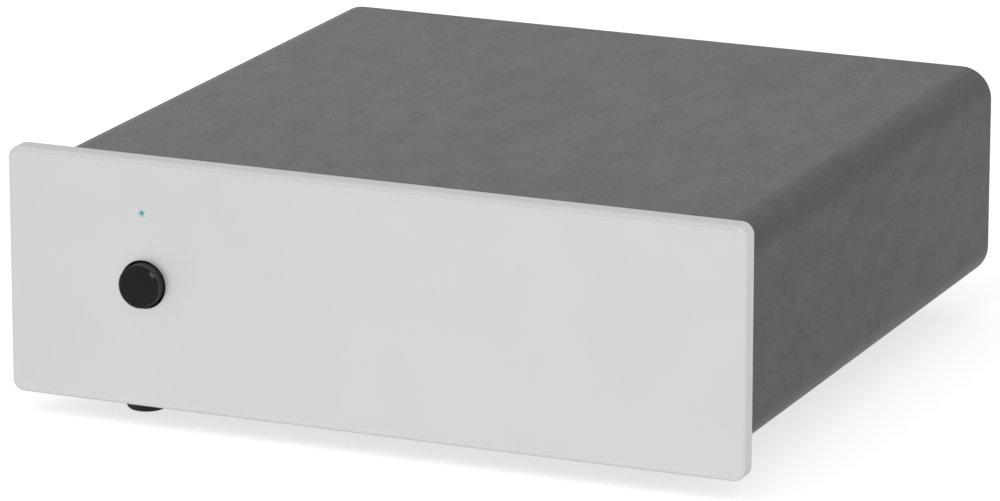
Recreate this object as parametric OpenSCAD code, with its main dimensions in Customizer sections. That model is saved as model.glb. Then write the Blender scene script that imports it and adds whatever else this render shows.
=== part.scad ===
// Phono preamplifier: an extruded sleeve on four rubber feet, closed by a thick front
// panel and a recessed rear panel, with one circuit board slid in between.
// Millimetres. +X is to the right seen from the front, +Y to the rear, +Z up.
// The origin is on the standing surface, under the middle of the overall box.

/* [Front panel] */
// Width of the front panel
panel_w = 103; // [101:0.5:130]
// Height of the front panel
panel_h = 33.2; // [33:0.1:45]
// Thickness of the front panel
panel_t = 3; // [2.5:0.1:5]
// Corner radius of the front panel
panel_corner_r = 1.9; // [1:0.1:4]
// Rounding of the front panel's front edge
panel_edge_r = 0.5; // [0.2:0.05:0.8]
// Step from the front panel's edge down to the sleeve
overhang = 1.85; // [0.5:0.05:3]

/* [Case] */
// Length of the sleeve
sleeve_l = 95; // [92:1:140]
// Wall of the sleeve
wall = 1.5; // [1.2:0.1:2]
// Outer corner radius of the sleeve
sleeve_corner_r = 4.3; // [3:0.1:5]
// Radius of the screw channels' walls
channel_r = 2.9; // [2.8:0.1:3.1]
// Radius of the screw channels' bores
channel_bore_r = 1.3; // [1:0.05:1.5]
// Distance from the inner walls to the screw channels' axes
channel_inset = 2.7; // [2.4:0.1:2.8]
// Thickness of the bulkhead behind the front panel
bulkhead_t = 1.5; // [1:0.1:2]
// Thickness of the rear panel
rear_t = 1.5; // [1:0.1:2]
// Depth of the rear panel inside the end of the sleeve
rear_recess = 0.5; // [0.2:0.1:2]
// Depth of the board guides on the side walls
guide_depth = 2; // [1.5:0.1:2.2]
// Thickness of each board guide
guide_t = 1.2; // [0.8:0.1:1.2]

/* [Feet] */
// Height of the feet, from the standing surface to the sleeve
foot_h = 5.1; // [4:0.1:10]
// Radius of a foot where it meets the sleeve
foot_top_r = 4; // [3:0.1:6]
// Radius of the flat that a foot stands on
foot_face_r = 2.1; // [1:0.1:3]
// Rounding round that flat
foot_round_r = 0.6; // [0.2:0.1:1]
// Distance from the sleeve's sides to the feet's axes
foot_side_inset = 12.95; // [8:0.05:20]
// Distance from the sleeve's front end to the front left foot's axis
foot_front_inset = 7; // [6:0.1:20]
// Distance that the front right foot is stuck on further back than the left one
foot_right_setback = 3.5; // [0:0.1:10]
// Distance from the sleeve's rear end to the rear feet's axes
foot_rear_inset = 9.7; // [6:0.1:20]

/* [Circuit board] */
// Thickness of the circuit board
board_t = 1.6; // [1:0.1:2]
// Height of the board's underside over the sleeve's floor
board_rise = 6.3; // [6.2:0.1:6.8]
// Gap from the bulkhead to the board's front edge
board_front_gap = 1.5; // [0.3:0.1:3]
// Height of the button's and the jacks' axes over the board
axis_over_board = 5.35; // [5.2:0.05:6]

/* [Power button] */
// Distance from the panel's left edge to the button's axis
button_inset = 19.45; // [18:0.05:30]
// Radius of the button cap
cap_r = 2.89; // [2.6:0.01:3.5]
// Gap round the button cap in the front panel
cap_gap = 0.25; // [0.15:0.05:0.4]
// Length of the button cap that stands out of the front panel
cap_out = 1.6; // [1.55:0.05:3]
// Travel of the button
cap_travel = 1.5; // [0.8:0.1:1.5]
// Rounding of the cap's front edge
cap_edge_r = 0.35; // [0.1:0.05:0.6]
// Side of the switch plunger's square shaft
plunger_side = 3; // [2:0.1:3.2]
// Width of the switch body
switch_w = 8.4; // [8:0.1:10]
// Length of the switch body
switch_l = 13; // [12:0.5:16]
// Height of the switch body over the axis
switch_over_axis = 4.2; // [3.8:0.1:4.6]
// Gap between the bulkhead and the switch body
switch_gap = 7.5; // [7:0.1:9]

/* [Power light] */
// Distance from the panel's top edge down to the light
light_drop = 7; // [6:0.1:8]
// Radius of the light pipe where it shows in the panel
pipe_r = 0.5; // [0.4:0.05:1.2]
// Radius of the light pipe behind the bulkhead
pipe_body_r = 1.5; // [1.4:0.1:1.8]
// Radius of the lamp's lens
lamp_r = 1.5; // [1.2:0.1:1.6]
// Length of the lamp's lens
lamp_l = 4.4; // [4:0.1:5.5]

/* [Phono jacks] */
// Outer radius of a jack's barrel
barrel_r = 4.15; // [4:0.05:4.3]
// Wall of a jack's barrel
barrel_wall = 0.6; // [0.5:0.05:0.9]
// Length of barrel outside the rear panel
barrel_out = 9.5; // [8.5:0.1:12]
// Radius of the centre contact's bore
contact_bore_r = 1.6; // [1.55:0.01:1.7]
// Wall of the centre contact
contact_wall = 0.45; // [0.3:0.05:0.6]
// Distance between the two jacks of a pair
jack_pitch = 14; // [13:0.5:16]
// Distance from the sleeve's inner right wall to the input pair's centre
input_inset = 18.15; // [17.5:0.05:20]
// Distance from the sleeve's inner left wall to the output pair's centre
output_inset = 34.15; // [32:0.05:36]
// Length of a jack housing in front of the rear panel
housing_l = 12; // [11:0.5:14]
// Radius of the housing's nose round each barrel
nose_r = 5.2; // [4.9:0.05:5.4]

/* [Power inlet] */
// Distance from the sleeve's inner left wall to the inlet's axis
inlet_inset = 12.15; // [11.5:0.05:13]
// Height of the inlet's axis over the board
inlet_over_board = 6.5; // [6:0.1:7]
// Width of the inlet's body
inlet_w = 9; // [8.5:0.1:10]
// Radius of the inlet's bore
inlet_bore_r = 3.15; // [3:0.05:3.3]
// Radius of the inlet's centre pin
inlet_pin_r = 1.05; // [0.8:0.05:1.25]
// Length of the inlet's body in front of the rear panel
inlet_l = 12.4; // [12:0.1:14]

/* [Ground terminal] */
// Radius of the ground terminal's threaded post
post_r = 2; // [1.5:0.1:2.5]
// Pitch of the post's thread
post_pitch = 0.7; // [0.5:0.05:0.8]
// Radius of the thumb nut
thumb_r = 5; // [4:0.1:6]
// Length of the thumb nut
thumb_l = 5.8; // [4:0.1:8]
// Number of ridges round the thumb nut
thumb_ridges = 36; // [20:1:44]

/* [Setting switches] */
// Number of sliders in each bank
dip_ways = 4; // [2:1:6]
// Spacing of the sliders
dip_pitch = 2.54; // [2.3:0.01:3]
// Distance from the middle of the board to each bank
dip_x = 14; // [10:0.5:20]
// Width of a bank from front to rear
dip_w = 9.9; // [8:0.1:11]
// Height of a bank under the board
dip_h = 5.7; // [5:0.1:5.8]
// Travel of a slider
dip_travel = 1.8; // [1.2:0.1:2]
// Height of a slider's stem outside the bank
dip_out = 0.8; // [0.4:0.1:1]

/* [Hidden] */
$fn = 48;
tiny = 0.01;             // overlap of a cut with the open side of its solid

// Clearances between pieces
fit_gap = 0.05;          // round a threaded, pressed or seated round piece
slide_gap = 0.1;         // round a sliding piece
hole_gap = 0.15;         // round a piece that passes through a panel
guide_gap = 0.15;        // round the board in its guides
edge_gap = 0.15;         // round the rear panel and the bulkhead in the sleeve

// Widths and heights of the case
sleeve_w = panel_w - 2 * overhang;
sleeve_h = panel_h - 2 * overhang;
inner_w = sleeve_w - 2 * wall;
inner_h = sleeve_h - 2 * wall;
inner_corner_r = sleeve_corner_r - wall;
case_z = foot_h + sleeve_h / 2;
floor_z = foot_h + wall;
ceiling_z = floor_z + inner_h;
channel_x = inner_w / 2 - channel_inset;
channel_z = inner_h / 2 - channel_inset;

// Stack on the ground terminal's post, outside the rear panel
lock_nut_t = 2;
washer_t = 0.8;
post_end = 1;            // length of post past the thumb nut
post_out = lock_nut_t + washer_t + thumb_l + post_end;

// Depths, measured to the rear from the front panel's face
sleeve_depth = panel_t + sleeve_l;             // rear end of the sleeve
rear_depth = sleeve_depth - rear_recess;       // outer face of the rear panel
overall_depth = rear_depth + max(barrel_out, post_out);
face_y = (cap_out - overall_depth) / 2;        // the front panel's face in the model

// The same planes in the model
panel_back_y = face_y + panel_t;
bulkhead_back_y = panel_back_y + bulkhead_t;
sleeve_end_y = face_y + sleeve_depth;
rear_y = face_y + rear_depth;
rear_front_y = rear_y - rear_t;

// Feet
foot_x = sleeve_w / 2 - foot_side_inset;
foot_left_y = panel_back_y + foot_front_inset;
foot_right_y = foot_left_y + foot_right_setback;
foot_rear_y = sleeve_end_y - foot_rear_inset;

// Board
board_z = floor_z + board_rise;
board_top_z = board_z + board_t;
board_w = inner_w - 2 * guide_gap;
board_front_y = bulkhead_back_y + board_front_gap;
board_rear_gap = 0.5;
board_rear_y = rear_front_y - board_rear_gap;
board_mid_y = (board_front_y + board_rear_y) / 2;
axis_z = board_top_z + axis_over_board;
leg_side = 1;            // side of a contact's square leg
leg_hole_r = 0.9;        // radius of the board's holes for those legs
leg_below = 1.2;         // length of a leg under the board
leg_gap = 0.4;           // gap from a housing to the leg beside it

// Fasteners
screw_r = channel_bore_r - fit_gap;
head_margin = 0.3;       // from a countersunk head to the bulkhead's edge
csk_head_r = channel_inset - edge_gap - head_margin;
csk_depth = 1;           // depth of the countersunk head
csk_reach = 9;           // reach of a bulkhead screw
pan_head_r = channel_inset - edge_gap - fit_gap;
pan_head_t = 1.7;
pan_edge_r = 0.6;
pan_reach = 8;           // reach of a rear screw behind its head
cross_w = 0.7;           // width of a cross recess
cross_l = 2.6;           // length of a cross recess
cross_depth = 0.9;       // depth of a cross recess
stud_r = 1.5;
stud_depth = 1.8;        // length of stud in the front panel
stud_inset = 9.5;        // distance from the panel's side to a stud
stud_x = panel_w / 2 - stud_inset;
nut_r = 3.2;             // corner radius of the studs' nuts
nut_t = 2.4;
nut_tail = 1;            // length of stud past its nut

// Button, switch and spring
button_x = button_inset - panel_w / 2;
cap_hole_r = cap_r + cap_gap;
switch_y = bulkhead_back_y + switch_gap;
switch_wall = 1.5;       // front and rear walls of the switch
switch_bore_r = 2.7;     // chamber behind the front wall
piston_r = switch_bore_r - slide_gap;
piston_t = 2;
cap_rear_gap = 0.3;      // from the pressed cap to the switch
cap_rear_y = switch_y - cap_travel - cap_rear_gap;
cap_socket_l = 4;        // length of plunger inside the cap
piston_y = switch_y + switch_wall;
spring_front_y = piston_y + piston_t;
spring_rear_y = switch_y + switch_l - switch_wall;
spring_r = 1.8;
spring_wire_r = 0.2;
spring_turns = 7;
spring_steps = 20;       // rings of the wire in each turn
spring_sides = 8;        // sides of the wire

// Light pipe and lamp
light_z = case_z + panel_h / 2 - light_drop;
pipe_hole_r = pipe_r + fit_gap;
pipe_end_y = switch_y + switch_l - lamp_l;
lamp_y = pipe_end_y + slide_gap;
lamp_flange_r = lamp_r + 0.4;
lamp_flange_t = 1;
lamp_back_y = lamp_y + lamp_l + lamp_flange_t;
lead_side = 0.5;
lead_pitch = 2.54;
lead_bend = 2;           // from the lamp's back to its leads' bend
lead_y = lamp_back_y + lead_bend;
lead_hole_r = 0.5;

// Phono jacks
input_x = inner_w / 2 - input_inset;
output_x = output_inset - inner_w / 2;
jacks = ["input_right", "input_left", "output_right", "output_left"];
function jack_x(i) = (i < 2 ? input_x : output_x) + jack_pitch * (1 / 2 - i % 2);
housing_side = 5.5;      // from a jack's axis to the housing's side
housing_over_axis = 5.3;
housing_y = rear_front_y - housing_l;
nose_out = 0.4;          // length of nose outside the rear panel
nose_end_y = rear_y + nose_out;
root_step = 0.2;         // step from a barrel down to its root in the housing
root_r = barrel_r - root_step;
barrel_bore_r = barrel_r - barrel_wall;
barrel_end_y = rear_y + barrel_out;
pocket_wall = 4;         // housing wall in front of the barrels
pocket_y = housing_y + pocket_wall;
insulator_r = barrel_bore_r - fit_gap;
insulator_recess = 1.5;  // from the barrel's end to the insulator's face
insulator_end_y = barrel_end_y - insulator_recess;
insulator_lip = 1.2;     // insulator in front of and behind the contact
lip_hole_r = contact_bore_r + 0.3;
contact_r = contact_bore_r + contact_wall;
contact_y = pocket_y + insulator_lip;
contact_end_y = insulator_end_y - insulator_lip - fit_gap;
contact_floor = 1.2;     // closed end of the contact's bore
leg_y = housing_y - leg_gap - leg_side;
jack_screw_rise = 3.6;   // height of the jack screws over the jacks' axes
jack_screw_r = 1;
jack_screw_head_r = 1.9;
jack_screw_head_t = 1.2;
jack_screw_reach = 7;

// Power inlet
inlet_x = inlet_inset - inner_w / 2;
inlet_z = board_top_z + inlet_over_board;
inlet_over_axis = 4.3;
inlet_y = rear_front_y - inlet_l;
inlet_nose_r = 4.4;
inlet_nose_out = 1;
inlet_end_y = rear_y + inlet_nose_out;
inlet_floor = 4.4;       // wall in front of the inlet's bore
inlet_bore_y = inlet_y + inlet_floor;
inlet_pin_recess = 0.9;  // from the nose's face to the pin's end
inlet_shank_r = inlet_pin_r + 0.25;
inlet_leg_y = inlet_y - leg_gap - leg_side;
blade_t = 0.3;           // side contact of the inlet
blade_w = 2.4;
blade_x = inlet_bore_r - 0.4;
blade_gap = 0.2;         // round the side contact in its slot
blade_end = 1.6;         // from the nose's face to the side contact's end

// Ground terminal
ground_x = (input_x + output_x) / 2;
lug_t = 0.8;
lug_w = 8;
lug_rise = 4;            // lug over the post's axis
lug_foot_l = 8;          // length of the lug's foot on the board
post_head_r = 3.5;
post_head_t = 2.5;
post_root = 0.25;        // depth of the thread
thread_crest = 0.2;      // flat on the thread's crests
lock_nut_r = 4;
washer_r = 4.2;
post_head_y = rear_front_y - lug_t - post_head_t;
lock_nut_y = rear_y;
washer_y = lock_nut_y + lock_nut_t;
thumb_y = washer_y + washer_t;
post_end_y = thumb_y + thumb_l + post_end;
post_bore_r = post_r + fit_gap;
ridge_depth = 0.3;
thumb_chamfer = 0.5;

// Setting switches
dip_banks = ["right", "left"];
function bank_x(bank) = bank == "right" ? dip_x : -dip_x;
function bank_settings(bank) = bank == "right" ? [1, -1, -1, 1, -1, 1] : [1, -1, -1, 1, 1, -1];
dip_margin = 0.8;        // bank past its outer sliders' halves of the spacing
dip_l = dip_ways * dip_pitch + 2 * dip_margin;
dip_face_z = board_z - dip_h;
stem_w = 1;
stem_l = 1.3;
slot_w = stem_w + 2 * slide_gap;
slot_depth = 1.2;        // wall that the slots go through
slider_base_w = 1.6;
slider_base_t = 0.8;
slider_base_over = 0.3;  // base past the stem, to the front and the rear
window_margin = 0.8;     // round a bank in the sleeve's floor
function way_x(bank, way) = bank_x(bank) + (way - (dip_ways + 1) / 2) * dip_pitch;
function way_y(bank, way) = board_mid_y + bank_settings(bank)[way - 1] * dip_travel / 2;

// Parts on top of the board, placed from its middle
channel_mid = 10;        // middle of the two audio channels
channel_pitch = 28;      // distance between the channels
channels = [channel_mid - channel_pitch / 2, channel_mid + channel_pitch / 2];
supply_x = -36;
supply_can_r = 4;
supply_can_h = 12;
supply_can_pitch = 10;
supply_cans = 3;
audio_can_r = 3.15;
audio_can_h = 11;
audio_can_x = 7;         // each side of a channel's middle
audio_can_y = 16;
can_edge_r = 0.4;        // rounding of a can, and the radius of its rolled groove
can_groove_z = 2;
film_w = 3.5;
film_l = 7.2;
film_h = 8;
film_pitch = 6.5;
film_y = -4;
amp_w = 6.4;
amp_l = 9.6;
amp_t = 3.4;
amp_rise = 0.5;          // gap under an amplifier's package
amp_span = 7.8;          // across an amplifier's leads
amp_lead_w = 0.5;
amp_lead_h = 1.8;
amp_front_y = -17;
amp_rear_y = 7;
regulator_x = -20;
regulator_front_y = -14;
regulator_rear_y = 4;
regulator_w = 10;
regulator_t = 4.5;
regulator_h = 9;
regulator_leg_h = 2;
regulator_leg_w = 0.8;
regulator_leg_t = 0.6;
tab_t = 1.3;             // a regulator's cooling plate
tab_room = 1.6;          // from a cooling plate's top to the ceiling
chip_w = 1.25;
chip_l = 2;
chip_t = 0.5;
chip_pitch = 2.6;
chip_front_y = -26;
chip_rear_y = -9.5;

// ---- Shapes that repeat ----

// A rectangle with true round corners
module round_rect(w, h, r) {
    square([w - 2 * r, h], center = true);
    square([w, h - 2 * r], center = true);
    for (x = [-1, 1], y = [-1, 1])
        translate([x * (w / 2 - r), y * (h / 2 - r)])
            circle(r);
}

// A flat shape drawn in X and Z, t thick from y0 towards the rear
module upright(y0, t) {
    translate([0, y0 + t, 0])
        rotate([90, 0, 0])
            linear_extrude(t)
                children();
}

// Children whose +Z points to the rear, from a point
module rearward(x, y, z) {
    translate([x, y, z])
        rotate([-90, 0, 0])
            children();
}

// Children whose +Z points to the front, from a point
module frontward(x, y, z) {
    translate([x, y, z])
        rotate([90, 0, 0])
            children();
}

// A round bar from y0 to y1
module rod(x, z, r, y0, y1) {
    rearward(x, y0, z)
        cylinder(r = r, h = y1 - y0);
}

// A block between two corners
module block(low, high) {
    translate(low)
        cube(high - low);
}

// A solid of revolution with its top edge rounded: r is its radius, h its height
module soft_disc(r, h, edge) {
    rotate_extrude() {
        square([r - edge, h]);
        square([r, h - edge]);
        translate([r - edge, h - edge])
            intersection() {
                circle(edge);
                square(edge);
            }
    }
}

// A plate with round corners whose upper rim is rounded
module soft_plate(w, h, t, r, edge) {
    linear_extrude(t - edge)
        round_rect(w, h, r);
    linear_extrude(t)
        round_rect(w - 2 * edge, h - 2 * edge, r - edge);
    for (x = [-1, 1])
        translate([x * (w / 2 - edge), 0, t - edge])
            rotate([90, 0, 0])
                cylinder(r = edge, h = h - 2 * r, center = true);
    for (y = [-1, 1])
        translate([0, y * (h / 2 - edge), t - edge])
            rotate([0, 90, 0])
                cylinder(r = edge, h = w - 2 * r, center = true);
    for (x = [-1, 1], y = [-1, 1])
        translate([x * (w / 2 - r), y * (h / 2 - r), t - edge])
            rotate_extrude()
                translate([r - edge, 0])
                    circle(edge);
}

// The four screw positions of the case, in X and Z
module at_channels() {
    for (x = [-1, 1], z = [-1, 1])
        translate([x * channel_x, case_z + z * channel_z])
            children();
}

// ---- Case ----

module front_panel() {
    color("#d3d3d3")
        difference() {
            frontward(0, panel_back_y, case_z)
                soft_plate(panel_w, panel_h, panel_t, panel_corner_r, panel_edge_r);
            rod(button_x, axis_z, cap_hole_r, face_y - 1, panel_back_y + 1);
            rod(button_x, light_z, pipe_hole_r, face_y - 1, panel_back_y + 1);
            for (x = [-1, 1])
                rod(x * stud_x, case_z, stud_r + fit_gap,
                    panel_back_y - stud_depth, panel_back_y + 1);
        }
}

module front_panel_studs() {
    color("#b8b8b8")
        for (x = [-1, 1])
            rod(x * stud_x, case_z, stud_r,
                panel_back_y - stud_depth, bulkhead_back_y + nut_t + nut_tail);
}

module front_panel_nuts() {
    color("#b0b0b0")
        for (x = [-1, 1])
            rearward(x * stud_x, bulkhead_back_y, case_z)
                difference() {
                    cylinder(r = nut_r, h = nut_t, $fn = 6);
                    translate([0, 0, -1])
                        cylinder(r = stud_r + fit_gap, h = nut_t + 2);
                }
}

module bulkhead() {
    color("#a8a8a8")
        difference() {
            upright(panel_back_y, bulkhead_t)
                difference() {
                    translate([0, case_z])
                        round_rect(inner_w - 2 * edge_gap, inner_h - 2 * edge_gap,
                            inner_corner_r - edge_gap);
                    at_channels()
                        circle(screw_r + hole_gap);
                    for (x = [-1, 1])
                        translate([x * stud_x, case_z])
                            circle(stud_r + hole_gap);
                    translate([button_x, axis_z])
                        circle(cap_hole_r + hole_gap);
                    translate([button_x, light_z])
                        circle(pipe_r + hole_gap);
                }
            for (x = [-1, 1], z = [-1, 1])
                rearward(x * channel_x, panel_back_y - tiny, case_z + z * channel_z)
                    cylinder(r1 = csk_head_r + fit_gap, r2 = screw_r + fit_gap,
                        h = csk_depth + fit_gap);
        }
}

module bulkhead_screws() {
    color("#909090")
        for (x = [-1, 1], z = [-1, 1])
            rearward(x * channel_x, panel_back_y, case_z + z * channel_z)
                difference() {
                    union() {
                        cylinder(r1 = csk_head_r, r2 = screw_r, h = csk_depth);
                        cylinder(r = screw_r, h = csk_reach);
                    }
                    cross_recess();
                }
}

// A cross recess that opens at z = 0
module cross_recess() {
    for (turn = [0, 90])
        rotate(turn)
            translate([-cross_l / 2, -cross_w / 2, -tiny])
                cube([cross_l, cross_w, cross_depth]);
}

module sleeve() {
    color("#6c6c6c")
        difference() {
            union() {
                upright(panel_back_y, sleeve_l)
                    translate([0, case_z])
                        difference() {
                            round_rect(sleeve_w, sleeve_h, sleeve_corner_r);
                            round_rect(inner_w, inner_h, inner_corner_r);
                        }
                upright(bulkhead_back_y, rear_front_y - bulkhead_back_y)
                    sleeve_features();
            }
            for (bank = dip_banks)
                setting_window(bank);
        }
}

// Screw channels and board guides, seen along the sleeve
module sleeve_features() {
    intersection() {
        difference() {
            union() {
                at_channels()
                    circle(channel_r);
                for (x = [-1, 1], z = [board_z - guide_gap - guide_t, board_top_z + guide_gap])
                    translate([x * inner_w / 2 - guide_depth, z])
                        square([2 * guide_depth, guide_t]);
            }
            at_channels()
                circle(channel_bore_r);
        }
        translate([0, case_z])
            round_rect(sleeve_w, sleeve_h, sleeve_corner_r);
    }
}

// The window in the floor under a bank of setting switches
module setting_window(bank) {
    half_l = dip_l / 2 + window_margin;
    half_w = dip_w / 2 + window_margin;
    block([bank_x(bank) - half_l, board_mid_y - half_w, foot_h - 1],
        [bank_x(bank) + half_l, board_mid_y + half_w, floor_z + 1]);
}

module rear_panel() {
    color("#222222")
        upright(rear_front_y, rear_t)
            difference() {
                translate([0, case_z])
                    round_rect(inner_w - 2 * edge_gap, inner_h - 2 * edge_gap,
                        inner_corner_r - edge_gap);
                at_channels()
                    circle(screw_r + hole_gap);
                for (i = [0 : 3])
                    translate([jack_x(i), axis_z])
                        circle(nose_r + hole_gap);
                for (x = [input_x, output_x])
                    translate([x, axis_z + jack_screw_rise])
                        circle(jack_screw_r + hole_gap);
                translate([inlet_x, inlet_z])
                    circle(inlet_nose_r + hole_gap);
                translate([ground_x, axis_z])
                    circle(post_r + hole_gap);
            }
}

// A pan head over z = 0 with its screw under it
module pan_screw(head_r, head_t, r, reach) {
    difference() {
        union() {
            soft_disc(head_r, head_t, pan_edge_r);
            translate([0, 0, -reach])
                cylinder(r = r, h = reach + tiny);
        }
        translate([0, 0, head_t])
            mirror([0, 0, 1])
                cross_recess();
    }
}

module rear_panel_screws() {
    color("#2c2c2c")
        for (x = [-1, 1], z = [-1, 1])
            rearward(x * channel_x, rear_y, case_z + z * channel_z)
                pan_screw(pan_head_r, pan_head_t, screw_r, pan_reach);
}

// ---- Feet ----

module foot(x, y) {
    color("#1c1c1c")
        translate([x, y, 0])
            rotate_extrude()
                intersection() {
                    hull() {
                        translate([-foot_top_r, foot_h - foot_round_r])
                            square([2 * foot_top_r, foot_round_r]);
                        for (side = [-1, 1])
                            translate([side * foot_face_r, foot_round_r])
                                circle(foot_round_r);
                    }
                    square([2 * foot_top_r, foot_h]);
                }
}

// ---- Circuit board ----

module main_board() {
    color("#1f5d3a")
        difference() {
            block([-board_w / 2, board_front_y, board_z], [board_w / 2, board_rear_y, board_top_z]);
            for (i = [0 : 3])
                board_hole(jack_x(i), leg_y + leg_side / 2, leg_hole_r);
            board_hole(inlet_x, inlet_leg_y + leg_side / 2, leg_hole_r);
            board_hole(inlet_x + blade_x + blade_t / 2, inlet_leg_y + leg_side / 2, leg_hole_r);
            for (side = [-1, 1])
                board_hole(button_x + side * lead_pitch / 2, lead_y + lead_side / 2, lead_hole_r);
        }
}

module board_hole(x, y, r) {
    translate([x, y, board_z - 1])
        cylinder(r = r, h = board_t + 2);
}

// ---- Power button and switch ----

module button_cap() {
    color("#1a1a1a")
        difference() {
            frontward(button_x, cap_rear_y, axis_z)
                soft_disc(cap_r, cap_rear_y - face_y + cap_out, cap_edge_r);
            socket = plunger_side / 2 + fit_gap;
            block([button_x - socket, cap_rear_y - cap_socket_l, axis_z - socket],
                [button_x + socket, cap_rear_y + 1, axis_z + socket]);
        }
}

module switch_plunger() {
    half = plunger_side / 2;
    color("#e8e4da") {
        block([button_x - half, cap_rear_y - cap_socket_l, axis_z - half],
            [button_x + half, piston_y + piston_t, axis_z + half]);
        rod(button_x, axis_z, piston_r, piston_y, piston_y + piston_t);
    }
}

module switch_body() {
    opening = plunger_side / 2 + slide_gap;
    color("#30343a")
        difference() {
            block([button_x - switch_w / 2, switch_y, board_top_z],
                [button_x + switch_w / 2, switch_y + switch_l, axis_z + switch_over_axis]);
            rod(button_x, axis_z, switch_bore_r, piston_y, spring_rear_y);
            block([button_x - opening, switch_y - 1, axis_z - opening],
                [button_x + opening, piston_y + tiny, axis_z + opening]);
        }
}

// The return spring's wire, swept round and along the axis
module switch_spring() {
    rings = spring_turns * spring_steps;
    reach = spring_rear_y - spring_front_y - 2 * (spring_wire_r + fit_gap);
    points = [
        for (i = [0 : rings], j = [0 : spring_sides - 1])
            let (turn = 360 * i / spring_steps,
                 around = 360 * j / spring_sides,
                 r = spring_r + spring_wire_r * cos(around))
                [r * cos(turn), r * sin(turn), reach * i / rings + spring_wire_r * sin(around)]
    ];
    sides = [
        for (i = [0 : rings - 1], j = [0 : spring_sides - 1])
            let (next = (j + 1) % spring_sides)
                [i * spring_sides + j, i * spring_sides + next,
                 (i + 1) * spring_sides + next, (i + 1) * spring_sides + j]
    ];
    first_end = [for (j = [spring_sides - 1 : -1 : 0]) j];
    last_end = [for (j = [0 : spring_sides - 1]) rings * spring_sides + j];
    color("#c8c8c8")
        rearward(button_x, spring_front_y + spring_wire_r + fit_gap, axis_z)
            polyhedron(points, concat(sides, [first_end], [last_end]));
}

// ---- Power light ----

module light_pipe() {
    color("#d8f4f8") {
        rod(button_x, light_z, pipe_r, face_y, bulkhead_back_y + tiny);
        rod(button_x, light_z, pipe_body_r, bulkhead_back_y, pipe_end_y);
    }
}

module power_lamp() {
    color("#7fd8ee") {
        rod(button_x, light_z, lamp_r, lamp_y + lamp_r, lamp_y + lamp_l);
        translate([button_x, lamp_y + lamp_r, light_z])
            sphere(lamp_r);
        rod(button_x, light_z, lamp_flange_r, lamp_y + lamp_l, lamp_back_y);
    }
}

module lamp_leads() {
    half = lead_side / 2;
    color("#c0c0c0")
        for (side = [-1, 1])
            translate([button_x + side * lead_pitch / 2, 0, 0]) {
                block([-half, lamp_back_y, light_z - half], [half, lead_y + lead_side, light_z + half]);
                block([-half, lead_y, board_z - leg_below], [half, lead_y + lead_side, light_z + half]);
            }
}

// ---- Phono jacks ----

module jack_housing(pair_x) {
    half = jack_pitch / 2 + housing_side;
    color("#1d1d1f")
        difference() {
            union() {
                block([pair_x - half, housing_y, board_top_z],
                    [pair_x + half, rear_front_y, axis_z + housing_over_axis]);
                for (side = [-1, 1])
                    rod(pair_x + side * jack_pitch / 2, axis_z, nose_r, rear_front_y - 1, nose_end_y);
            }
            for (side = [-1, 1])
                translate([pair_x + side * jack_pitch / 2, 0, 0]) {
                    rod(0, axis_z, root_r + fit_gap, pocket_y, nose_end_y + 1);
                    tail_hole(housing_y - 1, pocket_y + 1);
                }
            rod(pair_x, axis_z + jack_screw_rise, jack_screw_r + fit_gap,
                rear_y - jack_screw_reach - 1, rear_front_y + 1);
        }
}

// The square way for a contact's tail
module tail_hole(y0, y1) {
    half = leg_side / 2 + slide_gap;
    block([-half, y0, axis_z - half], [half, y1, axis_z + half]);
}

module jack_screws() {
    color("#2c2c2c")
        for (x = [input_x, output_x])
            rearward(x, rear_y, axis_z + jack_screw_rise)
                pan_screw(jack_screw_head_r, jack_screw_head_t, jack_screw_r, jack_screw_reach);
}

module jack_barrel(i) {
    color("#d6b25e")
        difference() {
            union() {
                rod(jack_x(i), axis_z, root_r, pocket_y, nose_end_y + tiny);
                rod(jack_x(i), axis_z, barrel_r, nose_end_y, barrel_end_y);
            }
            rod(jack_x(i), axis_z, barrel_bore_r, pocket_y - 1, barrel_end_y + 1);
        }
}

module jack_insulator(i) {
    color(i % 2 == 0 ? "#b3202a" : "#e9e7e1")
        difference() {
            rod(jack_x(i), axis_z, insulator_r, pocket_y, insulator_end_y);
            rod(jack_x(i), axis_z, contact_r + fit_gap, contact_y, contact_end_y + fit_gap);
            rod(jack_x(i), axis_z, lip_hole_r, contact_end_y, insulator_end_y + 1);
            translate([jack_x(i), 0, 0])
                tail_hole(pocket_y - 1, contact_y + 1);
        }
}

module jack_contact(i) {
    half = leg_side / 2;
    color("#d2ae5a")
        translate([jack_x(i), 0, 0])
            difference() {
                union() {
                    rod(0, axis_z, contact_r, contact_y, contact_end_y);
                    block([-half, leg_y, axis_z - half], [half, contact_y + half, axis_z + half]);
                    block([-half, leg_y, board_z - leg_below], [half, leg_y + leg_side, axis_z + half]);
                }
                rod(0, axis_z, contact_bore_r, contact_y + contact_floor, contact_end_y + 1);
            }
}

// ---- Power inlet ----

module inlet_body() {
    slot = blade_w / 2 + blade_gap;
    color("#18181a")
        translate([inlet_x, 0, 0])
            difference() {
                union() {
                    block([-inlet_w / 2, inlet_y, board_top_z],
                        [inlet_w / 2, rear_front_y, inlet_z + inlet_over_axis]);
                    rod(0, inlet_z, inlet_nose_r, rear_front_y - 1, inlet_end_y);
                }
                rod(0, inlet_z, inlet_bore_r, inlet_bore_y, inlet_end_y + 1);
                rod(0, inlet_z, inlet_shank_r + fit_gap, inlet_y - 1, inlet_bore_y + 1);
                block([blade_x - blade_gap, inlet_y - 1, inlet_z - slot],
                    [blade_x + blade_t + blade_gap, inlet_end_y - blade_end + blade_gap, inlet_z + slot]);
            }
}

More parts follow.
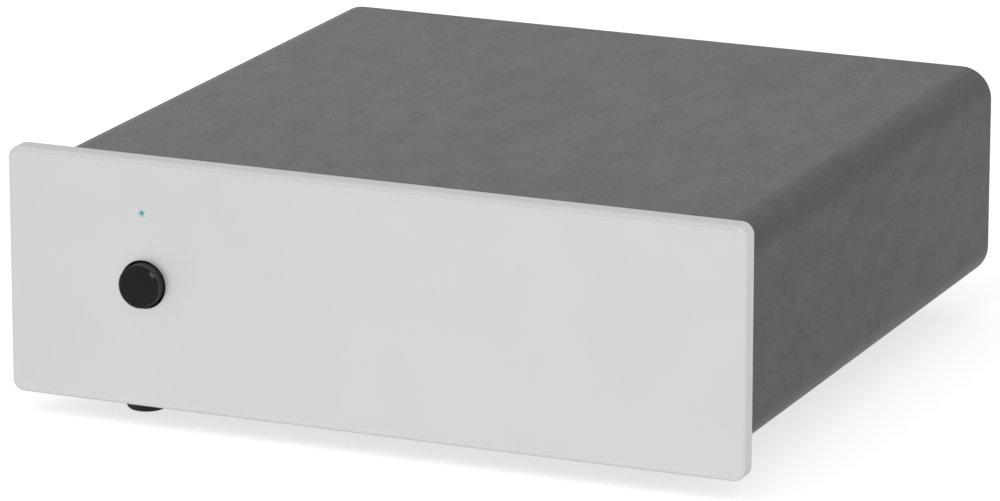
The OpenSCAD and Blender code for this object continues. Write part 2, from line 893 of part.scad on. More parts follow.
module inlet_centre_pin() {
    half = leg_side / 2;
    color("#c9cacb")
        translate([inlet_x, 0, 0]) {
            rod(0, inlet_z, inlet_shank_r, inlet_leg_y + half, inlet_bore_y);
            rod(0, inlet_z, inlet_pin_r, inlet_bore_y - tiny, inlet_end_y - inlet_pin_recess);
            block([-half, inlet_leg_y, board_z - leg_below],
                [half, inlet_leg_y + leg_side, inlet_z + inlet_shank_r]);
        }
}

module inlet_side_contact() {
    color("#c4b27a")
        translate([inlet_x + blade_x, 0, 0]) {
            block([0, inlet_leg_y, inlet_z - blade_w / 2],
                [blade_t, inlet_end_y - blade_end, inlet_z + blade_w / 2]);
            block([0, inlet_leg_y, board_z - leg_below],
                [blade_t, inlet_leg_y + leg_side, inlet_z - blade_w / 2 + tiny]);
        }
}

// ---- Ground terminal ----

// Half of the threaded post's outline: radius against height
function thread_outline(l) = let (turns = floor(l / post_pitch), slope = (post_pitch - thread_crest) / 2)
    concat(
        [[0, 0]],
        [for (i = [0 : turns - 1]) each [
            [post_r, i * post_pitch],
            [post_r, i * post_pitch + thread_crest],
            [post_r - post_root, i * post_pitch + thread_crest + slope]
        ]],
        [[post_r, turns * post_pitch], [post_r, l], [0, l]]
    );

module ground_post() {
    color("#c9a85a") {
        rod(ground_x, axis_z, post_head_r, post_head_y, post_head_y + post_head_t);
        rod(ground_x, axis_z, post_r, post_head_y, lock_nut_y + lock_nut_t);
        rearward(ground_x, lock_nut_y + lock_nut_t, axis_z)
            rotate_extrude()
                polygon(thread_outline(post_end_y - lock_nut_y - lock_nut_t));
    }
}

module ground_lug() {
    color("#c4c5c6")
        difference() {
            union() {
                block([ground_x - lug_w / 2, rear_front_y - lug_t, board_top_z],
                    [ground_x + lug_w / 2, rear_front_y, axis_z + lug_rise]);
                block([ground_x - lug_w / 2, rear_front_y - lug_foot_l, board_top_z],
                    [ground_x + lug_w / 2, rear_front_y, board_top_z + lug_t]);
            }
            rod(ground_x, axis_z, post_bore_r, rear_front_y - lug_t - 1, rear_front_y + 1);
        }
}

module ground_lock_nut() {
    color("#c9a85a")
        rearward(ground_x, lock_nut_y, axis_z)
            difference() {
                cylinder(r = lock_nut_r, h = lock_nut_t, $fn = 6);
                translate([0, 0, -1])
                    cylinder(r = post_bore_r, h = lock_nut_t + 2);
            }
}

module ground_washer() {
    color("#cdb06a")
        rearward(ground_x, washer_y, axis_z)
            difference() {
                cylinder(r = washer_r, h = washer_t);
                translate([0, 0, -1])
                    cylinder(r = post_bore_r, h = washer_t + 2);
            }
}

// The thumb nut's knurl: straight ridges round its rim
module ridged_circle(r, ridges, depth) {
    polygon([
        for (i = [0 : 2 * ridges - 1])
            let (turn = 180 * i / ridges, reach = i % 2 == 0 ? r : r - depth)
                reach * [cos(turn), sin(turn)]
    ]);
}

module ground_thumb_nut() {
    shoulder_r = thumb_r - 2 * ridge_depth;
    color("#d6b25e")
        rearward(ground_x, thumb_y, axis_z)
            difference() {
                union() {
                    translate([0, 0, thumb_chamfer])
                        linear_extrude(thumb_l - 2 * thumb_chamfer)
                            ridged_circle(thumb_r, thumb_ridges, ridge_depth);
                    cylinder(r1 = shoulder_r - thumb_chamfer, r2 = shoulder_r, h = thumb_chamfer);
                    translate([0, 0, thumb_l - thumb_chamfer])
                        cylinder(r1 = shoulder_r, r2 = shoulder_r - thumb_chamfer, h = thumb_chamfer);
                }
                translate([0, 0, -1])
                    cylinder(r = post_bore_r, h = thumb_l + 2);
            }
}

// ---- Setting switches under the board ----

module setting_bank(bank) {
    half_travel = (stem_l + dip_travel) / 2 + slide_gap;
    color("#a32a2e")
        difference() {
            block([bank_x(bank) - dip_l / 2, board_mid_y - dip_w / 2, dip_face_z],
                [bank_x(bank) + dip_l / 2, board_mid_y + dip_w / 2, board_z]);
            for (way = [1 : dip_ways])
                translate([way_x(bank, way), board_mid_y, dip_face_z]) {
                    block([-slot_w / 2, -half_travel, -1], [slot_w / 2, half_travel, slot_depth + tiny]);
                    block([-slider_base_w / 2 - slide_gap, -half_travel - slider_base_over, slot_depth],
                        [slider_base_w / 2 + slide_gap, half_travel + slider_base_over,
                         slot_depth + slider_base_t + 2 * slide_gap]);
                }
        }
}

module setting_slider(bank, way) {
    color("#f0efec")
        translate([way_x(bank, way), way_y(bank, way), dip_face_z]) {
            block([-stem_w / 2, -stem_l / 2, -dip_out],
                [stem_w / 2, stem_l / 2, slot_depth + slide_gap + tiny]);
            block([-slider_base_w / 2, -stem_l / 2 - slider_base_over, slot_depth + slide_gap],
                [slider_base_w / 2, stem_l / 2 + slider_base_over, slot_depth + slide_gap + slider_base_t]);
        }
}

// ---- Parts soldered on top of the board ----

// A block seated on the board: x and y are its middle, measured from the board's middle
module on_board(x, y, w, l, h, rise = 0) {
    translate([x - w / 2, board_mid_y + y - l / 2, board_top_z + rise])
        cube([w, l, h]);
}

// An electrolytic can with its rolled groove
module capacitor_can(x, y, r, h) {
    translate([x, board_mid_y + y, board_top_z])
        difference() {
            soft_disc(r, h, can_edge_r);
            translate([0, 0, can_groove_z])
                rotate_extrude()
                    translate([r + can_edge_r / 2, 0])
                        circle(can_edge_r);
        }
}

module electrolytic_capacitors() {
    color("#1c2a44") {
        for (i = [0 : supply_cans - 1])
            capacitor_can(supply_x, (i - (supply_cans - 1) / 2) * supply_can_pitch,
                supply_can_r, supply_can_h);
        for (x = channels, side = [-1, 1])
            capacitor_can(x + side * audio_can_x, audio_can_y, audio_can_r, audio_can_h);
    }
}

module film_capacitors() {
    color("#a8322c")
        for (x = channels, i = [-1 : 1])
            on_board(x + i * film_pitch, film_y, film_w, film_l, film_h);
}

module op_amps() {
    color("#1b1b1b")
        for (x = channels, y = [amp_front_y, amp_rear_y]) {
            on_board(x, y, amp_w, amp_l, amp_t, amp_rise);
            for (i = [-3 / 2 : 3 / 2])
                on_board(x, y + i * lead_pitch, amp_span, amp_lead_w, amp_lead_h);
        }
}

module voltage_regulators() {
    body_rise = regulator_leg_h - tiny;
    tab_h = ceiling_z - board_top_z - body_rise - tab_room;
    color("#26272a")
        for (y = [regulator_front_y, regulator_rear_y]) {
            on_board(regulator_x, y, regulator_w, regulator_t, regulator_h, body_rise);
            on_board(regulator_x, y + (regulator_t + tab_t) / 2 - tiny, regulator_w, tab_t,
                tab_h, body_rise);
            for (i = [-1 : 1])
                on_board(regulator_x + i * lead_pitch, y, regulator_leg_w, regulator_leg_t,
                    regulator_leg_h);
        }
}

module chip_resistors() {
    color("#2a2a2a")
        for (x = channels, i = [-3 : 3], y = [chip_front_y, chip_rear_y])
            on_board(x + i * chip_pitch, y, chip_w, chip_l, chip_t);
}

front_panel();
front_panel_studs();
front_panel_nuts();
bulkhead();
bulkhead_screws();
sleeve();
rear_panel();
rear_panel_screws();
main_board();
foot(foot_x, foot_right_y);  // front_right_foot
foot(-foot_x, foot_left_y);  // front_left_foot
foot(foot_x, foot_rear_y);  // rear_right_foot
foot(-foot_x, foot_rear_y);  // rear_left_foot
button_cap();
switch_plunger();
switch_spring();
switch_body();
light_pipe();
power_lamp();
lamp_leads();
jack_housing(input_x);  // input_jack_housing
jack_housing(output_x);  // output_jack_housing
jack_screws();
for (i = [0 : 3]) {
    jack_barrel(i);
    jack_insulator(i);
    jack_contact(i);
}
inlet_body();
inlet_centre_pin();
inlet_side_contact();
ground_post();
ground_lug();
ground_lock_nut();
ground_washer();
ground_thumb_nut();
for (bank = dip_banks) {
    setting_bank(bank);
    for (way = [1 : dip_ways])
        setting_slider(bank, way);
}
electrolytic_capacitors();
film_capacitors();
op_amps();
voltage_regulators();
chip_resistors();
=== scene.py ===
import math

import bmesh
import bpy
from mathutils import Matrix, Vector


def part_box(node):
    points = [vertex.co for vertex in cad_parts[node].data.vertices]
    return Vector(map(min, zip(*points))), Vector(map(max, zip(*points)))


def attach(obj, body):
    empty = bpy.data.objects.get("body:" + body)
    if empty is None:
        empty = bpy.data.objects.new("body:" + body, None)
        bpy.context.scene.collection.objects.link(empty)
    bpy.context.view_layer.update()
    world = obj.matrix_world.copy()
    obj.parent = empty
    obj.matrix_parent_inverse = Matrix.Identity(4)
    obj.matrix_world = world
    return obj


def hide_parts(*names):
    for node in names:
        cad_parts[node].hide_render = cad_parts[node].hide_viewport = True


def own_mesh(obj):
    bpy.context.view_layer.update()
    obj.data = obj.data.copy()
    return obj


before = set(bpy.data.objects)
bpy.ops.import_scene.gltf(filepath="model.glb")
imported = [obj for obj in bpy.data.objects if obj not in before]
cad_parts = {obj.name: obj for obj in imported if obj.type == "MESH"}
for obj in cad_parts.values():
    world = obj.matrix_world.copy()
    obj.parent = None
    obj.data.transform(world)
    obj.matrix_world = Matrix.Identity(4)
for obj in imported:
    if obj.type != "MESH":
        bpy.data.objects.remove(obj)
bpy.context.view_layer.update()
mm = 0.001

# ---- Camera ----
# A long lens at the height of a seated viewer, in front of the case and to its right. It aims
# at a point in the plane of the front panel's face.
def in_scene(name, data):
    """A new object in the scene, for a camera, a lamp, a mesh or a text."""
    thing = bpy.data.objects.new(name, data)
    bpy.context.scene.collection.objects.link(thing)
    return thing


panel_low, panel_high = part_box("front_panel")
camera_aim = Vector((18.336 * mm, panel_low.y, 29.928 * mm))
camera_azimuth = math.radians(23.44)
camera_elevation = math.radians(15.336)
camera_distance = 798.4 * mm

camera_direction = Vector((
    math.sin(camera_azimuth) * math.cos(camera_elevation),
    -math.cos(camera_azimuth) * math.cos(camera_elevation),
    math.sin(camera_elevation),
))
camera = in_scene("camera", bpy.data.cameras.new("camera"))
camera.data.sensor_width = 36
camera.data.lens = 228.15
camera.data.clip_start = 10 * mm
camera.data.clip_end = 20
camera.location = camera_aim + camera_distance * camera_direction
camera.rotation_euler = camera_direction.to_track_quat("Z", "Y").to_euler()
bpy.context.scene.camera = camera
bpy.context.scene.view_settings.view_transform = "Standard"


# ---- Studio ----
# A white sweep under one big soft box in front and above, one weak strip box to the right and
# an even dome. The floor is seen white, and keeps the shadow that the case throws on it.
def tint(code):
    """The linear colour of an sRGB hex value."""
    parts = [int(code[i:i + 2], 16) / 255 for i in (1, 3, 5)]
    return (*[c / 12.92 if c <= 0.04045 else ((c + 0.055) / 1.055) ** 2.4 for c in parts], 1)


def add_node(tree, kind, inputs=None, **settings):
    """Adds a node with its settings. Each input is given a value, or linked to an output."""
    node = tree.nodes.new(kind)
    for name, value in settings.items():
        setattr(node, name, value)
    for socket, value in (inputs or {}).items():
        if isinstance(value, bpy.types.NodeSocket):
            tree.links.new(value, node.inputs[socket])
        else:
            node.inputs[socket].default_value = value
    return node


def bare_tree(holder):
    """The node tree of a world or a material, emptied."""
    holder.use_nodes = True
    holder.node_tree.nodes.clear()
    return holder.node_tree


def seen_directly(tree):
    """1 for the rays that show the background: straight, in a reflection or through glass."""
    rays = add_node(tree, "ShaderNodeLightPath").outputs
    mirrored = add_node(tree, "ShaderNodeMath", operation="MAXIMUM", inputs={
        0: rays["Is Glossy Ray"], 1: rays["Is Transmission Ray"]})
    return add_node(tree, "ShaderNodeMath", operation="MAXIMUM", inputs={
        0: rays["Is Camera Ray"], 1: mirrored.outputs[0]}).outputs[0]


dome_level = 0.52
world = bpy.data.worlds.new("studio_dome")
tree = bare_tree(world)
dome_strength = add_node(tree, "ShaderNodeMapRange", {
    "Value": seen_directly(tree), "To Min": dome_level, "To Max": 1.0})
dome = add_node(tree, "ShaderNodeBackground", {
    "Color": (1, 1, 1, 1), "Strength": dome_strength.outputs[0]})
add_node(tree, "ShaderNodeOutputWorld", {"Surface": dome.outputs[0]})
bpy.context.scene.world = world

floor_half = 3.0
floor_glow = 0.72
floor_mesh = bpy.data.meshes.new("floor")
floor_mesh.from_pydata(
    [(x * floor_half, y * floor_half, 0) for x, y in ((-1, -1), (1, -1), (1, 1), (-1, 1))],
    [], [(0, 1, 2, 3)])
floor = in_scene("floor", floor_mesh)
# Matte white paper, lit to plain white where the camera sees it, with the shadow kept.
paper = bpy.data.materials.new("white_paper_sweep")
tree = bare_tree(paper)
paper_matt = add_node(tree, "ShaderNodeBsdfDiffuse", {"Color": tint("#c4c4c4")})
paper_glow_level = add_node(tree, "ShaderNodeMath", operation="MULTIPLY", inputs={
    0: seen_directly(tree), 1: floor_glow})
paper_glow = add_node(tree, "ShaderNodeEmission", {
    "Color": (1, 1, 1, 1), "Strength": paper_glow_level.outputs[0]})
paper_sum = add_node(tree, "ShaderNodeAddShader", {
    0: paper_matt.outputs[0], 1: paper_glow.outputs[0]})
add_node(tree, "ShaderNodeOutputMaterial", {"Surface": paper_sum.outputs[0]})
floor_mesh.materials.append(paper)

for lamp_name, lamp_place, lamp_aim, lamp_long, lamp_wide, lamp_roll, lamp_watts, mirrored in (
    ("soft_box_front", (-0.15, -0.55, 0.75), (0, -0.03, 0.02),
     0.70, 0.70, 0, 2.5, False),
    ("strip_box_right", (0.508, -0.531, 0.623), (-0.034, -0.055, 0.02),
     0.34, 0.04, 116, 0.45, True),
):
    box_light = bpy.data.lights.new(lamp_name, "AREA")
    box_light.shape = "RECTANGLE"
    box_light.size = lamp_long
    box_light.size_y = lamp_wide
    box_light.energy = lamp_watts
    soft_box = in_scene(lamp_name, box_light)
    soft_box.location = lamp_place
    soft_box.visible_glossy = mirrored
    lamp_turn = (Vector(lamp_place) - Vector(lamp_aim)).to_track_quat("Z", "Y").to_matrix()
    lamp_turn = lamp_turn @ Matrix.Rotation(math.radians(lamp_roll), 3, "Z")
    soft_box.rotation_euler = lamp_turn.to_euler()


# ---- Sleeve ----
# The case's long tube, extruded aluminium with the screw channels and board guides in its
# corners and sides. It is powder-coated outside, and its sawn ends and windows are eased.
weld_gap = 0.0002 * mm
flat_angle = math.radians(0.4)


def new_finish(name):
    """An empty material: itself, its tree, and the coordinates of the piece that it is on."""
    material = bpy.data.materials.new(name)
    tree = bare_tree(material)
    return material, tree, add_node(tree, "ShaderNodeTexCoord").outputs["Object"]


def welded(node):
    """A CAD node's loose triangles, joined where their corners meet."""
    work = bmesh.new()
    work.from_mesh(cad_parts[node].data)
    bmesh.ops.remove_doubles(work, verts=work.verts, dist=weld_gap)
    return work


def as_object(work, name):
    """Ends the work on a mesh, and gives it as an object at the origin."""
    mesh = bpy.data.meshes.new(name)
    work.to_mesh(mesh)
    work.free()
    return in_scene(name, mesh)


def fit(piece, finish, body, slot, *nodes, ease=0.0, sharp=35):
    """Shades a finished piece, eases its edges, and fits it to its body in place of its nodes."""
    if finish:
        piece.data.materials.clear()
        piece.data.materials.append(finish)
    piece.data.shade_smooth()
    piece.data.set_sharp_from_angle(angle=math.radians(sharp))
    if ease:
        bevel = piece.modifiers.new("eased_edges", "BEVEL")
        bevel.width = ease
        bevel.segments = 2
        bevel.limit_method = "ANGLE"
        bevel.angle_limit = math.radians(sharp)
        bevel.harden_normals = True
    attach(piece, body)
    if nodes:
        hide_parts(*nodes)


def fit_copy(node, name, finish, slot, ease, body="case"):
    """Fits a copy of a CAD node in its place, its triangles merged into whole flat faces."""
    work = welded(node)
    bmesh.ops.dissolve_limit(
        work, angle_limit=flat_angle, verts=work.verts, edges=work.edges)
    fit(as_object(work, name), finish, body, slot, node, ease=ease)


# Polyester powder, sprayed and baked: a matte skin of fine grit with pale specks and small pits,
# whose shade is painted in as near-black dots, over a soft cloudiness that is drawn out along the
# tube. The grit is drawn coarser than it is, so that it shows.
coat_grit = 0.35 * mm
coat_patch = 3.0 * mm
coat_pit = 0.6 * mm
coat, tree, place = new_finish("baked_grey_powder_coat")
along_tube = add_node(tree, "ShaderNodeMapping", {
    "Vector": place, "Scale": (1, 0.45, 1)}).outputs[0]
mottle = add_node(tree, "ShaderNodeTexNoise", {
    "Vector": place, "Scale": 1 / coat_grit, "Detail": 1.5, "Roughness": 0.5})
patches = add_node(tree, "ShaderNodeTexNoise", {
    "Vector": along_tube, "Scale": 1 / coat_patch, "Detail": 3.0, "Roughness": 0.6})
pit_shade_and_specks = add_node(tree, "ShaderNodeTexNoise", {
    "Vector": place, "Scale": 1 / coat_pit, "Detail": 0.0, "W": 4.0}, noise_dimensions="4D")
coat_colour = tint("#595959")
# Each layer lays a tone over a share of the coat. The pits come last as painted shade in
# near-black, and are rougher too.
for layer, start, end, most, tone in (
    (mottle, 0.3, 0.7, 1.0, "#4c4c4c"), (patches, 0.3, 0.7, 1.0, "#4b4b4b"),
    # The pale specks, then the pits' painted shade.
    (pit_shade_and_specks, 0.21, 0.17, 0.45, "#7a7a7a"), (pit_shade_and_specks, 0.74, 0.78, 0.4, "#0c0c0c"),
):
    share = add_node(tree, "ShaderNodeMapRange", {
        "Value": layer.outputs["Fac"], "From Min": start, "From Max": end, "To Max": most})
    coat_colour = add_node(tree, "ShaderNodeMix", data_type="RGBA", inputs={
        0: share.outputs[0], 6: coat_colour, 7: tint(tone)}).outputs[2]
coat_sheen = add_node(tree, "ShaderNodeMix", {
    0: 0.62, 2: mottle.outputs["Fac"], 3: patches.outputs["Fac"]})
coat_rough = add_node(tree, "ShaderNodeMapRange", {
    "Value": coat_sheen.outputs[0], "From Min": 0.35, "From Max": 0.65,
    "To Min": 0.41, "To Max": 0.46})
coat_pitted = add_node(tree, "ShaderNodeMix", {
    0: share.outputs[0], 2: coat_rough.outputs[0], 3: 0.55})
coat_bump = add_node(tree, "ShaderNodeBump", {
    "Height": mottle.outputs["Fac"], "Strength": 0.4, "Distance": 0.03 * mm})
coat_skin = add_node(tree, "ShaderNodeBsdfPrincipled", {
    "Base Color": coat_colour, "Roughness": coat_pitted.outputs[0], "IOR": 1.45,
    "Specular IOR Level": 0.25, "Normal": coat_bump.outputs[0]})
add_node(tree, "ShaderNodeOutputMaterial", {"Surface": coat_skin.outputs[0]})

fit_copy("sleeve", "sleeve_tube", coat, "sleeve_aluminium", 0.2 * mm)


# ---- Front panel ----
# A 3 mm aluminium plate, milled with a round front edge and a fine break at the back, then
# bead-blasted and clear-anodised. It has holes for the button and the lamp, and two blind ones
# for its studs.
def swing(start, end, steps):
    """The angles at even steps from start to end, which are given in degrees."""
    return [math.radians(start + (end - start) * i / steps) for i in range(steps + 1)]


def point_at(r, turn, x=0.0, z=0.0):
    """The point at a radius and an angle from a centre."""
    return x + r * math.cos(turn), z + r * math.sin(turn)


def round_corners(half_w, half_h, r, steps=12):
    """The outline of a rectangle with round corners, counter-clockwise."""
    return [
        point_at(r, turn, sx * (half_w - r), sz * (half_h - r))
        for quarter, (sx, sz) in enumerate(((1, 1), (-1, 1), (-1, -1), (1, -1)))
        for turn in swing(90 * quarter, 90 * quarter + 90, steps)
    ]


def circle_points(x, z, r, steps=64):
    """The outline of a circle, counter-clockwise."""
    return [point_at(r, turn, x, z) for turn in swing(0, 360, steps)[:-1]]


def upright_loop(work, points, y):
    """A closed loop of edges in the plane at y."""
    corners = [work.verts.new((x, y, z)) for x, z in points]
    for a, b in zip(corners, corners[1:] + corners[:1]):
        work.edges.new((a, b))
    return corners


def skin(work, loops):
    """Walls of quads from each loop to the next."""
    for low, high in zip(loops, loops[1:]):
        for i in range(len(low)):
            j = (i + 1) % len(low)
            work.faces.new((low[i], low[j], high[j], high[i]))


def fill(work, loops):
    """One flat face inside the first loop, round the others."""
    edges = [
        work.edges.get((a, b))
        for loop in loops for a, b in zip(loop, loop[1:] + loop[:1])
    ]
    bmesh.ops.triangle_fill(work, use_beauty=True, use_dissolve=False, edges=edges)


def finished_object(work, name):
    """Turns the faces of a new mesh outwards, and gives it as an object at the origin."""
    bmesh.ops.recalc_face_normals(work, faces=work.faces)
    return as_object(work, name)


panel_round = 0.7 * mm
panel_break = 0.14 * mm
panel_corner = 1.6 * mm
hole_ease = 0.12 * mm
pipe_hole_ease = 0.024 * mm
round_steps = 8
face_y, panel_back_y = panel_low.y, panel_high.y
panel_mid_z = (panel_low.z + panel_high.z) / 2
panel_half_w = (panel_high.x - panel_low.x) / 2
panel_half_h = (panel_high.z - panel_low.z) / 2
cap_low, cap_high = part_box("button_cap")
button_x, axis_z = (cap_low.x + cap_high.x) / 2, (cap_low.z + cap_high.z) / 2
cap_r = (cap_high.x - cap_low.x) / 2
cap_gap = 0.25 * mm
pipe_low, pipe_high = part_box("light_pipe")
light_z = (pipe_low.z + pipe_high.z) / 2
pipe_r = 0.5 * mm
pipe_gap = 0.02 * mm
stud_low, stud_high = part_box("front_panel_studs")
stud_r = (stud_high.z - stud_low.z) / 2
stud_x = stud_high.x - stud_r
stud_gap = 0.05 * mm

work = bmesh.new()
edge_profile = [(panel_break, panel_back_y), (0, panel_back_y - panel_break)] + [
    (panel_round * (1 - math.cos(turn)), face_y + panel_round * (1 - math.sin(turn)))
    for turn in swing(0, 90, round_steps)
]
rim = [
    upright_loop(work, [
        (x, z + panel_mid_z)
        for x, z in round_corners(panel_half_w - inset, panel_half_h - inset, panel_corner - inset)
    ], y)
    for inset, y in edge_profile
]
skin(work, rim)
front_holes, back_holes = [], []
for x, z, r, ease in (
    (button_x, axis_z, cap_r + cap_gap, hole_ease),
    (button_x, light_z, pipe_r + pipe_gap, pipe_hole_ease),
):
    hole = [
        upright_loop(work, circle_points(x, z, r + out), y)
        for out, y in ((ease, face_y), (0, face_y + ease), (0, panel_back_y))
    ]
    skin(work, hole)
    front_holes.append(hole[0])
    back_holes.append(hole[-1])
for side in (-1, 1):
    stud_seat = [
        upright_loop(work, circle_points(side * stud_x, panel_mid_z, stud_r + stud_gap), y)
        for y in (panel_back_y, stud_low.y)
    ]
    skin(work, stud_seat)
    fill(work, stud_seat[1:])
    back_holes.append(stud_seat[0])
fill(work, [rim[-1], *front_holes])
fill(work, [rim[0], *back_holes])
panel_plate = finished_object(work, "front_plate")

# Bead-blasting leaves pits of a tenth of a millimetre. They scatter the light, so that the
# plate looks even and silvery, with only a slow cloudiness in its sheen.
blast_pit = 0.12 * mm
blast_cloud = 12 * mm
anodised, tree, place = new_finish("blasted_clear_anodised_aluminium")
pitting = add_node(tree, "ShaderNodeTexNoise", {
    "Vector": place, "Scale": 1 / blast_pit, "Detail": 2.0, "Roughness": 0.5})
clouds = add_node(tree, "ShaderNodeTexNoise", {
    "Vector": place, "Scale": 1 / blast_cloud, "Detail": 2.0, "Roughness": 0.5})
anodised_colour = add_node(tree, "ShaderNodeMix", data_type="RGBA", inputs={
    0: pitting.outputs["Fac"], 6: tint("#d3d3d3"), 7: tint("#d5d5d5")})
anodised_rough = add_node(tree, "ShaderNodeMapRange", {
    "Value": clouds.outputs["Fac"], "From Min": 0.3, "From Max": 0.7,
    "To Min": 0.48, "To Max": 0.52})
anodised_bump = add_node(tree, "ShaderNodeBump", {
    "Height": pitting.outputs["Fac"], "Strength": 0.2, "Distance": 0.004 * mm})
anodised_skin = add_node(tree, "ShaderNodeBsdfPrincipled", {
    "Base Color": anodised_colour.outputs[2], "Metallic": 1.0, "Specular Tint": (0.6, 0.6, 0.6, 1),
    "Roughness": anodised_rough.outputs[0], "Normal": anodised_bump.outputs[0]})
add_node(tree, "ShaderNodeOutputMaterial", {"Surface": anodised_skin.outputs[0]})
fit(panel_plate, anodised, "case", "panel_aluminium", "front_panel")
# Weighted normals keep the broad faces flat right up to their rounded edges.
flat_shading = panel_plate.modifiers.new("flat_faces", "WEIGHTED_NORMAL")
flat_shading.keep_sharp = True
flat_shading.weight = 100


# ---- Bulkhead, studs and nuts ----
# A zinc-plated steel plate stands behind the front panel. Two studs that are pressed into the
# panel's back go through it with their nuts, and four countersunk screws hold it to the sleeve.
def grained(name, low, high, grain, rough_low, rough_high, bump, detail, fall, strength, values):
    """A finish of two close tones with a changing sheen and a fine relief, in one size of grain."""
    finish, tree, place = new_finish(name)
    spots = add_node(tree, "ShaderNodeTexNoise", {
        "Vector": place, "Scale": 1 / grain, "Detail": detail, "Roughness": fall})
    colour = add_node(tree, "ShaderNodeMix", data_type="RGBA", inputs={
        0: spots.outputs["Fac"], 6: tint(low), 7: tint(high)})
    rough = add_node(tree, "ShaderNodeMapRange", {
        "Value": spots.outputs["Fac"], "From Min": 0.3, "From Max": 0.7,
        "To Min": rough_low, "To Max": rough_high})
    relief = add_node(tree, "ShaderNodeBump", {
        "Height": spots.outputs["Fac"], "Strength": strength, "Distance": bump})
    skin = add_node(tree, "ShaderNodeBsdfPrincipled", {
        "Base Color": colour.outputs[2], "Roughness": rough.outputs[0],
        "Normal": relief.outputs[0], **values})
    add_node(tree, "ShaderNodeOutputMaterial", {"Surface": skin.outputs[0]})
    return finish


def plated(*look):
    """A metal: its name, two tones, grain, least and greatest roughness, and depth of relief."""
    return grained(*look, detail=3.0, fall=0.55, strength=0.4, values={"Metallic": 1.0})


# Bright zinc on rolled steel: a cool silver with a faint spangle of half a millimetre.
zinc = plated("bright_zinc_on_steel", "#a3a6a9", "#c2c4c5", 0.5 * mm, 0.28, 0.42, 0.004 * mm)
for node in ("bulkhead", "front_panel_nuts"):
    fit_copy(node, node + "_plated", zinc, "zinc_steel", 0.12 * mm)


def threaded(work, centre, r, root, pitch, y0, y1, steps=36, rows=6):
    """A closed bar along Y with a true helical thread that fades out at both ends."""
    count = round((y1 - y0) / pitch * rows)
    rings = []
    for row in range(count + 1):
        y = y0 + (y1 - y0) * row / count
        fade = min(1, 2 * (y - y0) / pitch, 2 * (y1 - y) / pitch)
        ring = []
        for step in range(steps):
            share = ((y - y0) / pitch - step / steps) % 1
            reach = r - root * fade * (1 - abs(2 * share - 1))
            x, z = point_at(reach, math.tau * step / steps, *centre)
            ring.append(work.verts.new((x, y, z)))
        rings.append(ring)
    skin(work, rings)
    for ring in (rings[0], rings[-1]):
        work.faces.new(ring)


stud_z = (stud_low.z + stud_high.z) / 2
stud_root = 0.18 * mm
stud_pitch = 0.5 * mm
work = bmesh.new()
for side in (-1, 1):
    threaded(work, (side * stud_x, stud_z), stud_r, stud_root, stud_pitch, stud_low.y, stud_high.y)
fit(finished_object(work, "threaded_studs"), zinc, "case", "zinc_steel", "front_panel_studs")


# ---- Screws ----
# Ten steel screws with cross recesses. Four countersunk ones in bright zinc, at the front, and
# four pan heads in black zinc, turned to the rear, cut their own threads in the sleeve's
# channels. Two small black pan heads hold the jack housings to the rear panel.
def turned(work, profile, centre=(0, 0), axis="Y", steps=48, closed=False):
    """Spins an outline of radius against height round an axis along Y or Z."""
    def spot(r, along, turn):
        across, up = point_at(r, turn, *centre)
        return (across, along, up) if axis == "Y" else (across, up, along)

    rings = [
        [work.verts.new(spot(r, along, math.tau * i / steps)) for i in range(steps if r else 1)]
        for r, along in profile
    ]
    if closed:
        rings.append(rings[0])
    for low, high in zip(rings, rings[1:]):
        for i in range(steps):
            corners = [
                low[i % len(low)], low[(i + 1) % len(low)],
                high[(i + 1) % len(high)], high[i % len(high)]]
            work.faces.new(list(dict.fromkeys(corners)))


def rounded(r, height, edge, steps=6, sense=1):
    """The points of a rounded rim at radius r, from its side up to the flat at that height."""
    return [
        (r - edge * (1 - math.cos(turn)), height - sense * edge * (1 - math.sin(turn)))
        for turn in swing(0, 90, steps)
    ]


def solid_boxes(node):
    """The lowest and highest corners of each separate solid of a CAD node."""
    work = welded(node)
    left, boxes = set(work.verts), []
    while left:
        group, edge = set(), {left.pop()}
        while edge:
            group |= edge
            edge = {e.other_vert(v) for v in edge for e in v.link_edges} - group
        left -= group
        spots = [v.co for v in group]
        boxes.append((
            Vector([min(p[i] for p in spots) for i in range(3)]),
            Vector([max(p[i] for p in spots) for i in range(3)])))
    work.free()
    return sorted(boxes, key=lambda corners: tuple(round(c, 5) for c in corners[0]))


def new_tree(name, *inputs):
    """An empty Geometry Nodes tree with named inputs, and the outputs that give them."""
    tree = bpy.data.node_groups.new(name, "GeometryNodeTree")
    for socket, kind in inputs:
        tree.interface.new_socket(socket, in_out="INPUT", socket_type="NodeSocket" + kind)
    tree.interface.new_socket("Geometry", in_out="OUTPUT", socket_type="NodeSocketGeometry")
    return tree, add_node(tree, "NodeGroupInput").outputs


def end_tree(tree, shape, finish):
    """Ends a tree: its copies are made real, and the whole gets its finish."""
    solid = add_node(tree, "GeometryNodeRealizeInstances", {"Geometry": shape})
    finished = add_node(tree, "GeometryNodeSetMaterial", {
        "Geometry": solid.outputs[0], "Material": finish})
    add_node(tree, "NodeGroupOutput", {"Geometry": finished.outputs[0]})


def plain_mesh(piece):
    """What an object's modifiers or its text make of it, as a mesh."""
    view = bpy.context.evaluated_depsgraph_get()
    return bpy.data.meshes.new_from_object(piece.evaluated_get(view), depsgraph=view)


def grown(name, tree, start, values):
    """Runs a Geometry Nodes tree on a mesh, and keeps what it grows as a plain mesh."""
    piece = in_scene(name, start)
    modifier = piece.modifiers.new(tree.name, "NODES")
    modifier.node_group = tree
    for socket in tree.interface.items_tree:
        if socket.name in values:
            modifier[socket.identifier] = values[socket.name]
    mesh = plain_mesh(piece)
    piece.modifiers.clear()
    piece.data = mesh
    return piece


